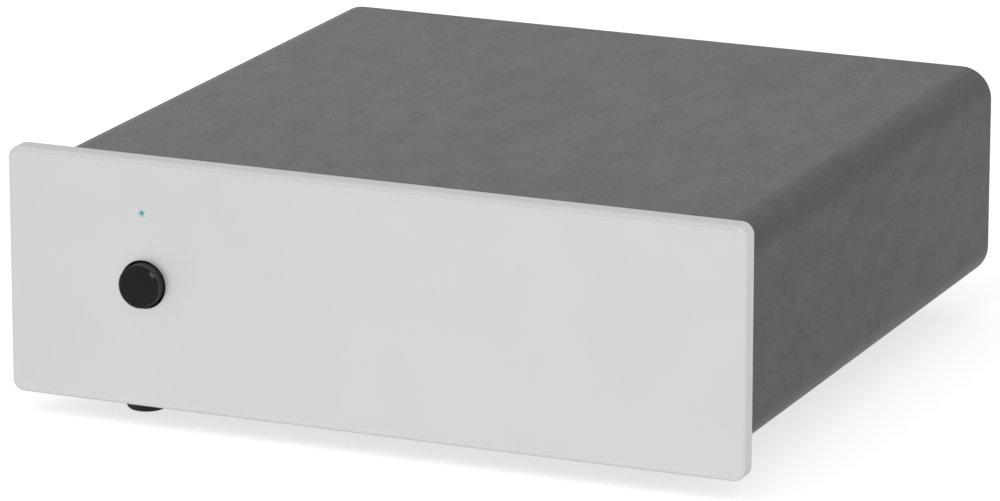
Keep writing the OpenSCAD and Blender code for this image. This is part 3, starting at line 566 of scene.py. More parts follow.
# The tree that puts a copy of one piece at each point, each turned by chance about Y.
repeat_tree, given = new_tree(
    "repeated_piece", ("Points", "Geometry"), ("Piece", "Object"), ("Finish", "Material"),
    ("Seed", "Int"), ("Greatest turn", "Float"))
copied = add_node(repeat_tree, "GeometryNodeObjectInfo", {"Object": given["Piece"]})
highest_turn = add_node(repeat_tree, "ShaderNodeCombineXYZ", {"Y": given["Greatest turn"]})
chance_turn = add_node(repeat_tree, "FunctionNodeRandomValue", data_type="FLOAT_VECTOR", inputs={
    "Max": highest_turn.outputs[0], "Seed": given["Seed"]})
copies = add_node(repeat_tree, "GeometryNodeInstanceOnPoints", {
    "Points": given["Points"], "Instance": copied.outputs["Geometry"],
    "Rotation": chance_turn.outputs[0]})
end_tree(repeat_tree, copies.outputs[0], given["Finish"])


def repeated(name, work, places, finish, seed=1, turn=0.0):
    """Copies one piece, made round the origin, to each of the places."""
    pattern = finished_object(work, name + "_pattern")
    points = bpy.data.meshes.new(name)
    points.from_pydata(places, [], [])
    piece = grown(name, repeat_tree, points, {
        "Piece": pattern, "Finish": finish, "Seed": seed, "Greatest turn": turn})
    bpy.data.objects.remove(pattern)
    return piece


recess_l, recess_w, recess_depth = 2.6 * mm, 0.7 * mm, 0.9 * mm
recess_taper = 0.62


def cross_cut(work, share=1.0):
    """Cuts a tapered cross recess into the face at y = 0 of a piece whose shank is at +Y."""
    cutter = bmesh.new()
    for along, across in ((recess_l, recess_w), (recess_w, recess_l)):
        corners = [
            cutter.verts.new((sx * along * share * grip / 2, y, sz * across * share * grip / 2))
            for y, grip in (
                (-recess_depth * share, 1.0), (0, 1.0), (recess_depth * share, recess_taper))
            for sx, sz in ((-1, -1), (1, -1), (1, 1), (-1, 1))
        ]
        skin(cutter, [corners[0:4], corners[4:8], corners[8:12]])
        cutter.faces.new(corners[0:4])
        cutter.faces.new(corners[8:12])
    blank = finished_object(work, "screw_blank")
    tool = finished_object(cutter, "recess_tool")
    cut = blank.modifiers.new("recess", "BOOLEAN")
    cut.operation = "DIFFERENCE"
    cut.solver = "EXACT"
    cut.use_self = True
    cut.object = tool
    view = bpy.context.evaluated_depsgraph_get()
    result = bmesh.new()
    result.from_object(blank, view)
    bpy.data.objects.remove(blank)
    bpy.data.objects.remove(tool)
    return result


def tops(boxes, shift=0.0):
    """The middle of the front side of each box, moved along Y."""
    return [((low.x + high.x) / 2, low.y + shift, (low.z + high.z) / 2) for low, high in boxes]


# Black zinc: a plated steel with a dark chromate skin that is satin, not glossy.
black_zinc = plated("black_chromate_zinc", "#232326", "#37373a", 0.4 * mm, 0.34, 0.46, 0.003 * mm)
thread_pitch, thread_root, thread_overlap = 0.5 * mm, 0.2 * mm, 0.05 * mm
sink_edge = 0.1 * mm
for screw_name, node, finish, slot, shank_r, head_t, pan_round, cross, seed in (
    ("countersunk_screws", "bulkhead_screws", zinc, "zinc_steel",
     1.25 * mm, 1.0 * mm, 0, 1.0, 3),
    ("rear_pan_head_screws", "rear_panel_screws", black_zinc, "black_zinc",
     1.25 * mm, 1.7 * mm, 0.9 * mm, 1.0, 5),
    ("jack_pan_head_screws", "jack_screws", black_zinc, "black_zinc",
     1.0 * mm, 1.2 * mm, 0.7 * mm, 0.8, 9),
):
    boxes = solid_boxes(node)
    low, high = boxes[0]
    head_r, reach = (high.x - low.x) / 2, high.y - low.y
    if pan_round:
        head = [*reversed(rounded(head_r, 0, pan_round, sense=-1)), (head_r, head_t)]
    else:
        head = [(head_r - sink_edge, 0), (head_r, sink_edge), (shank_r, head_t)]
    work = bmesh.new()
    turned(work, [(0, 0), *head, (0, head_t)])
    work = cross_cut(work, cross)
    threaded(work, (0, 0), shank_r, thread_root, thread_pitch, head_t - thread_overlap, reach)
    if pan_round:
        for vertex in work.verts:
            vertex.co.y = -vertex.co.y
    places = tops(boxes, reach if pan_round else 0.0)
    fit(repeated(screw_name, work, places, finish, seed=seed, turn=math.pi),
        None, "case", slot, node)


# ---- Circuit board ----
# Glass laminate with a green solder mask over its copper, slid into the sleeve's guides. The
# parts on it are soldered through its holes.
def moulded(*look):
    """A moulded, cast or lacquered finish, given in the same order as a metal."""
    return grained(*look, detail=2.0, fall=0.5, strength=0.5,
                   values={"IOR": 1.5, "Specular IOR Level": 0.5})


# Solder mask: a thin green lacquer, glossy, a little darker where copper lies under it.
solder_mask = moulded(
    "solder_mask_on_laminate", "#17402a", "#215a3b", 3.0 * mm, 0.22, 0.34, 0.01 * mm)
fit_copy("main_board", "etched_board", solder_mask, "board_laminate", 0.1 * mm)

# Black PBT: moulded connectors and switches, with a satin skin of fine sparks from the tool.
black_plastic = moulded("moulded_black_pbt", "#161617", "#222224", 0.25 * mm, 0.36, 0.5, 0.01 * mm)
# Red PBT has the same satin skin, on the setting switches and the right jacks' rings. White
# nylon is a warm, soft white, on the sliders, the plunger and the left jacks' rings.
red_plastic = moulded("moulded_red_pbt", "#931d24", "#ad2a31", 0.25 * mm, 0.34, 0.46, 0.01 * mm)
white_plastic = moulded("moulded_white_nylon", "#dcd8ce", "#eeebe3", 0.3 * mm, 0.38, 0.5, 0.01 * mm)
# Tin: dipped, so it has a soft bright skin with slow waves, on every lead and tab.
tin = plated("dipped_tin_on_copper", "#b9bbbd", "#d2d3d4", 0.8 * mm, 0.2, 0.34, 0.01 * mm)
# Polyester shrink sleeves on the electrolytic cans: blue-black film, tight and glossy.
can_sleeve = moulded(
    "blue_black_shrink_sleeve", "#141f36", "#1d2c4a", 2.0 * mm, 0.22, 0.32, 0.01 * mm)
# Film capacitors are moulded polyester boxes with a soft gloss. Epoxy packages keep the matte
# grain of their mould. The chips' glaze is a dark fired glass, smoother than both.
film_box = moulded("red_polyester_box", "#96261f", "#b23a30", 0.4 * mm, 0.28, 0.4, 0.01 * mm)
package = moulded("black_epoxy_package", "#151515", "#212121", 0.15 * mm, 0.5, 0.64, 0.01 * mm)
chip_glaze = moulded("glazed_chip", "#1c1c1e", "#2b2b2d", 0.2 * mm, 0.24, 0.36, 0.005 * mm)

# These parts keep the shapes of their solids, with eased edges.
for node, piece_name, finish, slot, ease in (
    ("film_capacitors", "film_boxes", film_box, "film_epoxy", 0.25 * mm),
    ("switch_body", "switch_shell", black_plastic, "black_plastic", 0.2 * mm),
    ("right_setting_bank", "right_bank_shell", red_plastic, "switch_red", 0.15 * mm),
    ("left_setting_bank", "left_bank_shell", red_plastic, "switch_red", 0.15 * mm),
    ("lamp_leads", "lamp_legs", tin, "tinned_copper", 0.06 * mm),
):
    fit_copy(node, piece_name, finish, slot, ease)
for bank in ("right", "left"):
    for way in range(1, 5):
        fit_copy(f"{bank}_setting_slider_{way}", f"{bank}_slider_{way}", white_plastic,
                 "white_plastic", 0.12 * mm, f"{bank}_setting_{way}")


def prism(work, outline, start, end, place=lambda u, v, w: (u, v, w)):
    """A closed bar: an outline of (u, v) carried from w = start to end, each point put in place."""
    loops = [[work.verts.new(place(u, v, w)) for u, v in outline] for w in (start, end)]
    skin(work, loops)
    for loop in loops:
        work.faces.new(loop)


def both_sides(half):
    """A closed outline: the right half that is given, and its mirror image."""
    return half + [(-u, v) for u, v in reversed(half)]


def fit_on_board(name, work, boxes, finish, slot, node, ease=0.0):
    """Fits copies of one piece, made on its foot at the origin, where a node's solids stand."""
    feet = [((low.x + high.x) / 2, (low.y + high.y) / 2, low.z) for low, high in boxes]
    fit(repeated(name, work, feet, finish), None, "case", slot, node, ease=ease)


# An electrolytic can is a cup of drawn aluminium in a shrink sleeve, with a rolled groove near
# its foot. The sleeve leaves the top bare, where four pads with a cross of thin gaps between
# them are the vent, and a pale printed stripe marks the minus side. The drawn metal is a soft
# silver, and the print is flatter than the film that it is on.
can_metal = plated("drawn_aluminium_can", "#b3b5b7", "#c8c9cb", 0.4 * mm, 0.24, 0.36, 0.003 * mm)
stripe_print = moulded(
    "pale_printed_stripe", "#a7b0bb", "#b9c1ca", 0.3 * mm, 0.3, 0.4, 0.002 * mm)
can_edge, groove_z, groove_half, groove_depth = 0.4 * mm, 2.0 * mm, 0.2 * mm, 0.3 * mm
bare_top, top_sink, top_t = 0.9 * mm, 0.1 * mm, 0.1 * mm
vent_inset, vent_gap, vent_step = 0.25 * mm, 0.12 * mm, 0.06 * mm
stripe_out, stripe_in, stripe_turn = 0.02 * mm, 0.1 * mm, 15
stripe_foot, stripe_drop = groove_z + 0.8 * mm, 0.6 * mm
can_boxes = solid_boxes("electrolytic_capacitors")
supply_w = 0.9 * max(high.x - low.x for low, high in can_boxes)
for can_name, boxes in (
    ("supply_can", [(low, high) for low, high in can_boxes if high.x - low.x > supply_w]),
    ("audio_can", [(low, high) for low, high in can_boxes if high.x - low.x < supply_w]),
):
    low, high = boxes[0]
    r, h = (high.x - low.x) / 2 - stripe_out, high.z - low.z
    top_r, vent_r = r - bare_top, r - bare_top - vent_inset
    vent_z = h - top_sink - vent_step
    top_z = vent_z - top_t
    sleeve_work, top_work, stripe_work = bmesh.new(), bmesh.new(), bmesh.new()
    turned(sleeve_work, [
        (0, 0), (r - can_edge, 0), (r, can_edge), (r, groove_z - 2 * groove_depth),
        (r - groove_depth, groove_z - groove_half), (r - groove_depth, groove_z + groove_half),
        (r, groove_z + 2 * groove_depth), *rounded(r, h, can_edge),
        (top_r, h), (top_r, top_z), (0, top_z),
    ], axis="Z")
    turned(top_work, [(0, top_z), (top_r, top_z), (top_r, vent_z), (0, vent_z)], axis="Z")
    gap_turn = math.degrees(math.asin(vent_gap / vent_r))
    for start in (0, 90, 180, 270):
        prism(top_work, [
            point_at(vent_gap * math.sqrt(2), math.radians(start + 45)),
            *[point_at(vent_r, turn) for turn in swing(start + gap_turn, start + 90 - gap_turn, 8)],
        ], vent_z, vent_z + vent_step)
    stripe_turns = swing(-90 - stripe_turn, -90 + stripe_turn, 6)
    prism(stripe_work, [point_at(r + stripe_out, turn) for turn in stripe_turns]
          + [point_at(r - stripe_in, turn) for turn in reversed(stripe_turns)],
          stripe_foot, h - stripe_drop)
    for part, work, finish in (
        ("sleeves", sleeve_work, can_sleeve), ("tops", top_work, can_metal),
        ("stripes", stripe_work, stripe_print),
    ):
        fit_on_board(f"{can_name}_{part}", work, boxes, finish, "can_aluminium",
                     "electrolytic_capacitors")

# An op-amp is a block of epoxy moulded round a tinned frame, with a notch at one end. Its eight
# legs are wide at the shoulder and narrow where they enter the board.
amp_boxes = solid_boxes("op_amps")
low, high = amp_boxes[0]
amp_half_w, amp_half_l, amp_h = 3.2 * mm, (high.y - low.y) / 2, high.z - low.z
amp_rise, frame_z, amp_draft = 0.5 * mm, 2.0 * mm, 0.2 * mm
notch_r, notch_z = 0.8 * mm, amp_h - 0.5 * mm
work = bmesh.new()
loops = []
# Each loop of the package has its height, how far its sides lean in, and its share of the notch.
for z, shrink, bite in (
    (amp_rise, amp_draft, 0), (frame_z, 0, 0), (notch_z, 0.6 * amp_draft, 0),
    (notch_z, 0.65 * amp_draft, 1), (amp_h, amp_draft, 1),
):
    half_w, half_l = amp_half_w - shrink, amp_half_l - shrink
    loops.append([work.verts.new((x, y, z)) for x, y in [
        (half_w, -half_l), (half_w, half_l), (-half_w, half_l), (-half_w, -half_l)] + [
        (-notch_r * math.cos(turn), bite * notch_r * math.sin(turn) - half_l)
        for turn in swing(0, 180, 8)]])
skin(work, loops)
work.faces.new(loops[0])
work.faces.new(loops[-1])
fit_on_board("op_amp_packages", work, amp_boxes, package, "package_epoxy", "op_amps", 0.06 * mm)

leg_pitch, leg_out, leg_t = 2.54 * mm, (high.x - low.x) / 2, 0.25 * mm
leg_low, leg_high, neck_low, neck_high = 0.28 * mm, 0.65 * mm, 0.75 * mm, 1.1 * mm
arm_low, arm_high, arm_root = frame_z - 0.05 * mm, frame_z + 0.2 * mm, 0.1 * mm
leg_outline = both_sides([
    (leg_low, 0), (leg_low, neck_low), (leg_high, neck_high), (leg_high, arm_high)])
arm_outline = both_sides([(leg_high, arm_low), (leg_high, arm_high)])
work = bmesh.new()
for side in (-1, 1):
    for way in range(4):
        middle = (way - 1.5) * leg_pitch
        for outline, start, end in (
            (leg_outline, leg_out - leg_t, leg_out),
            (arm_outline, amp_half_w - arm_root, leg_out - leg_t),
        ):
            prism(work, outline, start, end, lambda u, v, w: (side * w, middle + u, v))
fit_on_board("op_amp_legs", work, amp_boxes, tin, "tinned_copper", "op_amps")

# A voltage regulator is a block of epoxy on a tinned cooling plate with a hole, on three legs.
regulator_boxes = solid_boxes("voltage_regulators")
low, high = regulator_boxes[0]
half_w, half_d, top = (high.x - low.x) / 2, (high.y - low.y) / 2, high.z - low.z
block_t, block_low, block_high = 4.5 * mm, 2.0 * mm, 11.0 * mm
block_back = block_t - half_d
work = bmesh.new()
prism(work, both_sides([(half_w, block_low), (half_w, block_high)]), -half_d, block_back,
      lambda u, v, w: (u, w, v))
fit_on_board("regulator_blocks", work, regulator_boxes, package, "package_epoxy",
             "voltage_regulators", 0.35 * mm)

plate_hole_r, plate_hole_z, plate_notch = 1.9 * mm, top - 2.9 * mm, 0.8 * mm
tab_low, tab_high, neck_low, neck_high = 0.4 * mm, 0.65 * mm, 0.9 * mm, 1.15 * mm
tab_y, tab_half_t = (block_back - half_d) / 2, 0.3 * mm
work = bmesh.new()
plate_loops, hole_loops = [
    [upright_loop(work, outline, y) for y in (block_back, half_d)]
    for outline in (
        both_sides([
            (half_w, block_low), (half_w, top - 2 * plate_notch),
            (half_w - plate_notch, top - plate_notch), (half_w - plate_notch, top)]),
        circle_points(0, plate_hole_z, plate_hole_r, 32),
    )
]
skin(work, plate_loops)
skin(work, hole_loops)
for loops in zip(plate_loops, hole_loops):
    fill(work, loops)
tab_outline = both_sides([
    (tab_low, 0), (tab_low, neck_low), (tab_high, neck_high), (tab_high, block_low)])
for way in (-1, 0, 1):
    prism(work, tab_outline, tab_y - tab_half_t, tab_y + tab_half_t,
          lambda u, v, w: (way * leg_pitch + u, w, v))
fit_on_board("regulator_plates", work, regulator_boxes, tin, "tinned_copper",
             "voltage_regulators", 0.08 * mm)

# A chip resistor is a ceramic chip under dark glaze, with a tinned cap at each end.
chip_boxes = solid_boxes("chip_resistors")
low, high = chip_boxes[0]
chip_half_w, chip_half_l, chip_t = (high.x - low.x) / 2, (high.y - low.y) / 2, high.z - low.z
cap_l, cap_step = 0.35 * mm, 0.03 * mm
body_half_l = chip_half_l - cap_l
for part, finish, slot, inset, bars in (
    ("bodies", chip_glaze, "resistor_ceramic", cap_step, [(-body_half_l, body_half_l)]),
    ("caps", tin, "tinned_copper", 0,
     [(-chip_half_l, -body_half_l), (body_half_l, chip_half_l)]),
):
    half_w = chip_half_w - inset
    work = bmesh.new()
    for start, end in bars:
        prism(work, both_sides([(half_w, inset), (half_w, chip_t - inset)]), start, end,
              lambda u, v, w: (u, w, v))
    fit_on_board(f"chip_{part}", work, chip_boxes, finish, slot, "chip_resistors", 0.04 * mm)

# White ink, screen-printed: a thin flat film with hardly any sheen.
ink = moulded("screen_printed_white_ink", "#dededb", "#e9e9e6", 0.15 * mm, 0.5, 0.62, 0.004 * mm)
ink_t = 0.03 * mm
ink_weld = 0.0005 * mm
# The built-in font draws a capital at this share of the text's size.
capital_share = 0.7


def printed(name, marks):
    """Fits words as one thin layer of ink, each centred on the place where its matrix puts it."""
    work = bmesh.new()
    for words, height, place in marks:
        text = bpy.data.curves.new("legend", "FONT")
        text.body = words
        text.size = height / capital_share
        text.align_x = "CENTER"
        text.extrude = ink_t / 2
        text.resolution_u = 6
        lettering = in_scene("legend", text)
        mesh = plain_mesh(lettering)
        mesh.transform(place @ Matrix.Translation((0, -height / 2, 0)))
        work.from_mesh(mesh)
        bpy.data.objects.remove(lettering)
    bmesh.ops.remove_doubles(work, verts=work.verts, dist=ink_weld)
    fit(finished_object(work, name), ink, "case", "white_plastic")


# Each bank of switches has ON at one side of its slots and its ways' numbers at the other. They
# are read from below.
mark_h, mark_inset = 1.3 * mm, 1.6 * mm
facing_down = Matrix.Rotation(math.radians(180), 4, "X")
marks = []
for bank in ("right", "left"):
    low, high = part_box(f"{bank}_setting_bank")
    spots = [("ON", (low.x + high.x) / 2, low.y + mark_inset)]
    for way in range(1, 5):
        stem_low, stem_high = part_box(f"{bank}_setting_slider_{way}")
        spots.append((str(way), (stem_low.x + stem_high.x) / 2, high.y - mark_inset))
    marks += [
        (words, mark_h, Matrix.Translation((x, y, low.z - ink_t / 2)) @ facing_down)
        for words, x, y in spots
    ]
printed("printed_way_marks", marks)


# ---- Power button ----
# A round cap of black ABS, moulded with a socket that presses onto the switch's white square
# plunger. A coil spring behind the plunger's piston pushes both back out.
cap_edge, cap_crown, cap_back_edge = 0.27 * mm, 0.05 * mm, 0.15 * mm
cap_spark = 0.25 * mm
side_y, side_blend = cap_low.y + 0.3 * mm, 0.06 * mm
socket_half, socket_depth = 1.55 * mm, 4.0 * mm

# ABS: the face is polished in the mould, so its rim catches one clear highlight. The side keeps the
# tool's fine spark texture and is rougher; its lighter grey colour is painted sheen for the light
# it catches from above.
black_cap, tree, place = new_finish("moulded_black_abs")
depth = add_node(tree, "ShaderNodeSeparateXYZ", {0: place}).outputs["Y"]
side_mask = add_node(tree, "ShaderNodeMapRange", {
    "Value": depth, "From Min": side_y, "From Max": side_y + side_blend})
sparks = add_node(tree, "ShaderNodeTexNoise", {
    "Vector": place, "Scale": 1 / cap_spark, "Detail": 2.0})
cap_face_tone = add_node(tree, "ShaderNodeMix", data_type="RGBA", inputs={
    0: sparks.outputs["Fac"], 6: tint("#060606"), 7: tint("#090909")})
# The side's grey is painted sheen: the same black plastic, drawn lighter for the light falling on
# it.
cap_side_painted_sheen = add_node(tree, "ShaderNodeMix", data_type="RGBA", inputs={
    0: sparks.outputs["Fac"], 6: tint("#3b3b3b"), 7: tint("#474747")})
cap_tone = add_node(tree, "ShaderNodeMix", data_type="RGBA", inputs={
    0: side_mask.outputs[0], 6: cap_face_tone.outputs[2], 7: cap_side_painted_sheen.outputs[2]})
cap_rough = add_node(tree, "ShaderNodeMapRange", {
    "Value": side_mask.outputs[0], "To Min": 0.14, "To Max": 0.6})
cap_grit = add_node(tree, "ShaderNodeBump", {
    "Height": sparks.outputs["Fac"], "Strength": 0.3, "Distance": 0.003 * mm})
cap_skin = add_node(tree, "ShaderNodeBsdfPrincipled", {
    "Base Color": cap_tone.outputs[2], "Roughness": cap_rough.outputs[0], "Specular IOR Level": 0.2,
    "Normal": cap_grit.outputs[0]})
add_node(tree, "ShaderNodeOutputMaterial", {"Surface": cap_skin.outputs[0]})
# The cap's face is crowned: it rises a little to its middle.
work = bmesh.new()
cap_rings = [
    upright_loop(work, circle_points(button_x, axis_z, r), y)
    for r, y in (
        (cap_r - cap_back_edge, cap_high.y), (cap_r, cap_high.y - cap_back_edge),
        (cap_r, cap_low.y + cap_crown + cap_edge), (cap_r - cap_edge, cap_low.y + cap_crown),
        (cap_r * 0.6, cap_low.y + cap_crown * 0.3), (cap_r * 0.25, cap_low.y))
]
skin(work, cap_rings)
work.faces.new(cap_rings[-1])
socket = [
    upright_loop(work, [
        (button_x + sx * socket_half, axis_z + sz * socket_half)
        for sx, sz in ((1, 1), (-1, 1), (-1, -1), (1, -1))
    ], y)
    for y in (cap_high.y, cap_high.y - socket_depth)
]
skin(work, socket)
work.faces.new(socket[-1])
fill(work, [cap_rings[0], socket[0]])
fit(finished_object(work, "round_button_cap"), black_cap, "power_button", "cap_plastic",
    "button_cap")
fit_copy("switch_plunger", "square_plunger", white_plastic, "white_plastic", 0.15 * mm,
         "power_button")

# The tree that winds a spring: a spiral with a round wire, laid along Y.
spring_tree, given = new_tree(
    "wound_spring", ("Turns", "Float"), ("Coil radius", "Float"), ("Length", "Float"),
    ("Wire radius", "Float"), ("Place", "Vector"), ("Finish", "Material"))
coil = add_node(spring_tree, "GeometryNodeCurveSpiral", {
    "Resolution": 32, "Rotations": given["Turns"], "Start Radius": given["Coil radius"],
    "End Radius": given["Coil radius"], "Height": given["Length"]})
wire = add_node(spring_tree, "GeometryNodeCurvePrimitiveCircle", {
    "Resolution": 10, "Radius": given["Wire radius"]})
wound = add_node(spring_tree, "GeometryNodeCurveToMesh", {
    "Curve": coil.outputs[0], "Profile Curve": wire.outputs[0], "Fill Caps": True})
laid = add_node(spring_tree, "GeometryNodeTransform", {
    "Geometry": wound.outputs[0], "Translation": given["Place"],
    "Rotation": (math.radians(-90), 0, 0)})
end_tree(spring_tree, laid.outputs[0], given["Finish"])

# Music wire: drawn, so it is bright and nearly smooth.
music_wire = plated("drawn_music_wire", "#b5b6b8", "#cbccce", 0.2 * mm, 0.18, 0.28, 0.002 * mm)
spring_low, spring_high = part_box("switch_spring")
wire_r = 0.2 * mm
return_spring = grown("wound_return_spring", spring_tree, bpy.data.meshes.new("spring_seed"), {
    "Turns": 7.0, "Coil radius": (spring_high.x - spring_low.x) / 2 - wire_r,
    "Length": spring_high.y - spring_low.y - 2 * wire_r, "Wire radius": wire_r,
    "Place": (button_x, spring_low.y + wire_r, axis_z), "Finish": music_wire})
fit(return_spring, None, "case", "spring_steel", "switch_spring")
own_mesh(return_spring)


# ---- Power light ----
# A clear acrylic pipe brings the light of a small lamp on the board to the front panel. Its
# lit end is a dot a millimetre across, blue-green in the middle and pale at its rim.
shoulder_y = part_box("bulkhead")[1].y
pipe_body_r, pipe_edge = (pipe_high.x - pipe_low.x) / 2, 0.1 * mm
end_crown, end_edge = 0.01 * mm, 0.06 * mm
core_r, rim_r = 0.18 * mm, 0.46 * mm

# Acrylic: clear and polished. The lit end glows by itself, so the glow is drawn on its face.
acrylic, tree, place = new_finish("lit_clear_acrylic")
from_axis = add_node(tree, "ShaderNodeVectorMath", operation="SUBTRACT", inputs={
    0: place, 1: (button_x, 0, light_z)})
flat_place = add_node(tree, "ShaderNodeVectorMath", operation="MULTIPLY", inputs={
    0: from_axis.outputs[0], 1: (1, 0, 1)})
radius = add_node(tree, "ShaderNodeVectorMath", operation="LENGTH", inputs={
    0: flat_place.outputs[0]})
core = add_node(tree, "ShaderNodeMapRange", {
    "Value": radius.outputs["Value"], "From Min": core_r, "From Max": rim_r})
glow = add_node(tree, "ShaderNodeMix", data_type="RGBA", inputs={
    0: core.outputs[0], 6: tint("#4c9ca8"), 7: tint("#d0e6ee")})
acrylic_skin = add_node(tree, "ShaderNodeBsdfPrincipled", {
    "Base Color": glow.outputs[2], "Roughness": 0.2, "IOR": 1.49,
    "Emission Color": glow.outputs[2], "Emission Strength": 0.25})
add_node(tree, "ShaderNodeOutputMaterial", {"Surface": acrylic_skin.outputs[0]})
work = bmesh.new()
turned(work, [
    (0, pipe_low.y), (pipe_r * 0.8, pipe_low.y + end_crown), (pipe_r, pipe_low.y + end_edge),
    (pipe_r, shoulder_y), (pipe_body_r - pipe_edge, shoulder_y),
    (pipe_body_r, shoulder_y + pipe_edge), (pipe_body_r, pipe_high.y - pipe_edge),
    (pipe_body_r - pipe_edge, pipe_high.y), (0, pipe_high.y),
], (button_x, light_z), steps=32)
fit(finished_object(work, "acrylic_light_pipe"), acrylic, "case", "clear_acrylic", "light_pipe")

# Lamp epoxy: water-clear resin with a blue tint, cast smooth.
lamp_epoxy = moulded("cast_blue_epoxy", "#6fcfe6", "#8fdff0", 1.0 * mm, 0.08, 0.14, 0.002 * mm)
lamp_low, lamp_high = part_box("power_lamp")
lamp_r, lamp_flange_r, lamp_flange_t = 1.5 * mm, (lamp_high.x - lamp_low.x) / 2, 1.0 * mm
work = bmesh.new()
turned(work, [
    *[(lamp_r * math.sin(turn), lamp_low.y + lamp_r * (1 - math.cos(turn)))
      for turn in swing(0, 90, 8)],
    (lamp_r, lamp_high.y - lamp_flange_t), (lamp_flange_r, lamp_high.y - lamp_flange_t),
    (lamp_flange_r, lamp_high.y), (0, lamp_high.y),
], (button_x, light_z), steps=32)
fit(finished_object(work, "domed_lamp"), lamp_epoxy, "case", "lamp_epoxy", "power_lamp")


# ---- Phono jacks ----
# Each pair is one black housing behind the rear panel, with two gold-plated shells. A coloured
# insulator in each shell, red right and white left, holds the gold centre contact.
shell_t, shell_step, shell_edge, shell_lip = 0.6 * mm, 0.2 * mm, 0.1 * mm, 0.2 * mm

# Gold over nickel on turned brass: warm and bright, with a faint turning sheen.
gold = plated("gold_plated_brass", "#d8b05c", "#e1bb6a", 0.3 * mm, 0.22, 0.28, 0.0008 * mm)
for pair in ("input", "output"):
    node = pair + "_jack_housing"
    nose_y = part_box(node)[1].y
    fit_copy(node, pair + "_housing_block", black_plastic, "black_plastic", 0.2 * mm)
    for side, finish, slot in (
        ("right", red_plastic, "red_plastic"), ("left", white_plastic, "white_plastic"),
    ):
        jack = f"{pair}_{side}"
        low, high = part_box(jack + "_barrel")
        centre = ((low.x + high.x) / 2, (low.z + high.z) / 2)
        barrel_r = (high.x - low.x) / 2
        bore_r, root_r = barrel_r - shell_t, barrel_r - shell_step
        work = bmesh.new()
        turned(work, [
            (bore_r, low.y), (root_r, low.y), (root_r, nose_y), (barrel_r - shell_edge, nose_y),
            (barrel_r, nose_y + shell_edge), *rounded(barrel_r, high.y, shell_lip),
            (bore_r + shell_lip, high.y), (bore_r, high.y - shell_lip),
        ], centre, steps=64, closed=True)
        fit(finished_object(work, jack + "_shell"), gold, "case", "gold_brass", jack + "_barrel")
        fit_copy(jack + "_insulator", jack + "_ring", finish, slot, 0.12 * mm)
        fit_copy(jack + "_contact", jack + "_centre", gold, "gold_brass", 0.08 * mm)


# ---- Power inlet ----
# A moulded block with a round bore for the wall supply's plug. A nickel-plated pin stands in
# the middle of the bore, and a springy tinned blade touches the plug's side.
inlet_low, inlet_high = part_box("inlet_body")
fit_copy("inlet_body", "inlet_block", black_plastic, "black_plastic", 0.2 * mm)
fit_copy("inlet_side_contact", "inlet_blade", tin, "tinned_copper", 0.06 * mm)

# Nickel over turned brass: a warm grey silver, bright and nearly smooth.
nickel = plated("nickel_plated_brass", "#b9b7b2", "#cfcdc8", 0.3 * mm, 0.2, 0.3, 0.002 * mm)
pin_low, pin_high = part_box("inlet_centre_pin")
pin_step, pin_leg, bore_back = 0.25 * mm, 1.0 * mm, 4.4 * mm
pin_shank_r = (pin_high.x - pin_low.x) / 2
pin_r, pin_bore_y = pin_shank_r - pin_step, inlet_low.y + bore_back
pin_x, pin_z = (pin_low.x + pin_high.x) / 2, pin_high.z - pin_shank_r
work = bmesh.new()
turned(work, [
    (0, pin_low.y + pin_leg / 2), (pin_shank_r, pin_low.y + pin_leg / 2), (pin_shank_r, pin_bore_y),
    (pin_r, pin_bore_y), *rounded(pin_r, pin_high.y, 0.75 * pin_r), (0, pin_high.y),
], (pin_x, pin_z), steps=32)
prism(work, both_sides([(pin_leg / 2, pin_low.y), (pin_leg / 2, pin_low.y + pin_leg)]),
      pin_low.z, pin_z + pin_shank_r * 0.9, lambda u, v, w: (pin_x + u, v, w))
fit(finished_object(work, "inlet_pin"), nickel, "case", "nickel_brass", "inlet_centre_pin")


# ---- Ground terminal ----
# A threaded brass post through the rear panel. A tinned lug joins it to the board, a hexagon
# nut locks it, and a washer and a knurled thumb nut clamp the turntable's ground wire. All but
# the lug are gold-plated.
fit_copy("ground_lug", "ground_lug_plate", tin, "tinned_copper", 0.1 * mm)
fit_copy("ground_lock_nut", "ground_hexagon_nut", gold, "gold_brass", 0.2 * mm)
fit_copy("ground_washer", "ground_flat_washer", gold, "gold_brass", 0.12 * mm, "ground_washer")

post_low, post_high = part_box("ground_post")
ground_x = (post_low.x + post_high.x) / 2
lock_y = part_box("ground_lock_nut")[0].y
thumb_low, thumb_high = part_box("ground_thumb_nut")
post_r, post_pitch, post_root = 2.0 * mm, 0.7 * mm, 0.25 * mm
post_head_r, post_head_t, post_edge = (post_high.x - post_low.x) / 2, 2.5 * mm, 0.2 * mm
work = bmesh.new()
turned(work, [
    (0, post_low.y), (post_head_r - post_edge, post_low.y),
    (post_head_r, post_low.y + post_edge), (post_head_r, post_low.y + post_head_t),
    (post_r, post_low.y + post_head_t), (post_r, lock_y), (0, lock_y),
], (ground_x, axis_z))
threaded(work, (ground_x, axis_z), post_r, post_root, post_pitch, lock_y - thread_overlap,
         post_high.y, steps=48, rows=8)
fit(finished_object(work, "threaded_ground_post"), gold, "case", "gold_brass", "ground_post")

thumb_r = (thumb_high.z - thumb_low.z) / 2
thumb_gap, thumb_bore_edge = 0.05 * mm, 0.3 * mm
thumb_bore_r = post_r + thumb_gap
ridges, ridge_depth, ridge_steps = 36, 0.3 * mm, 6
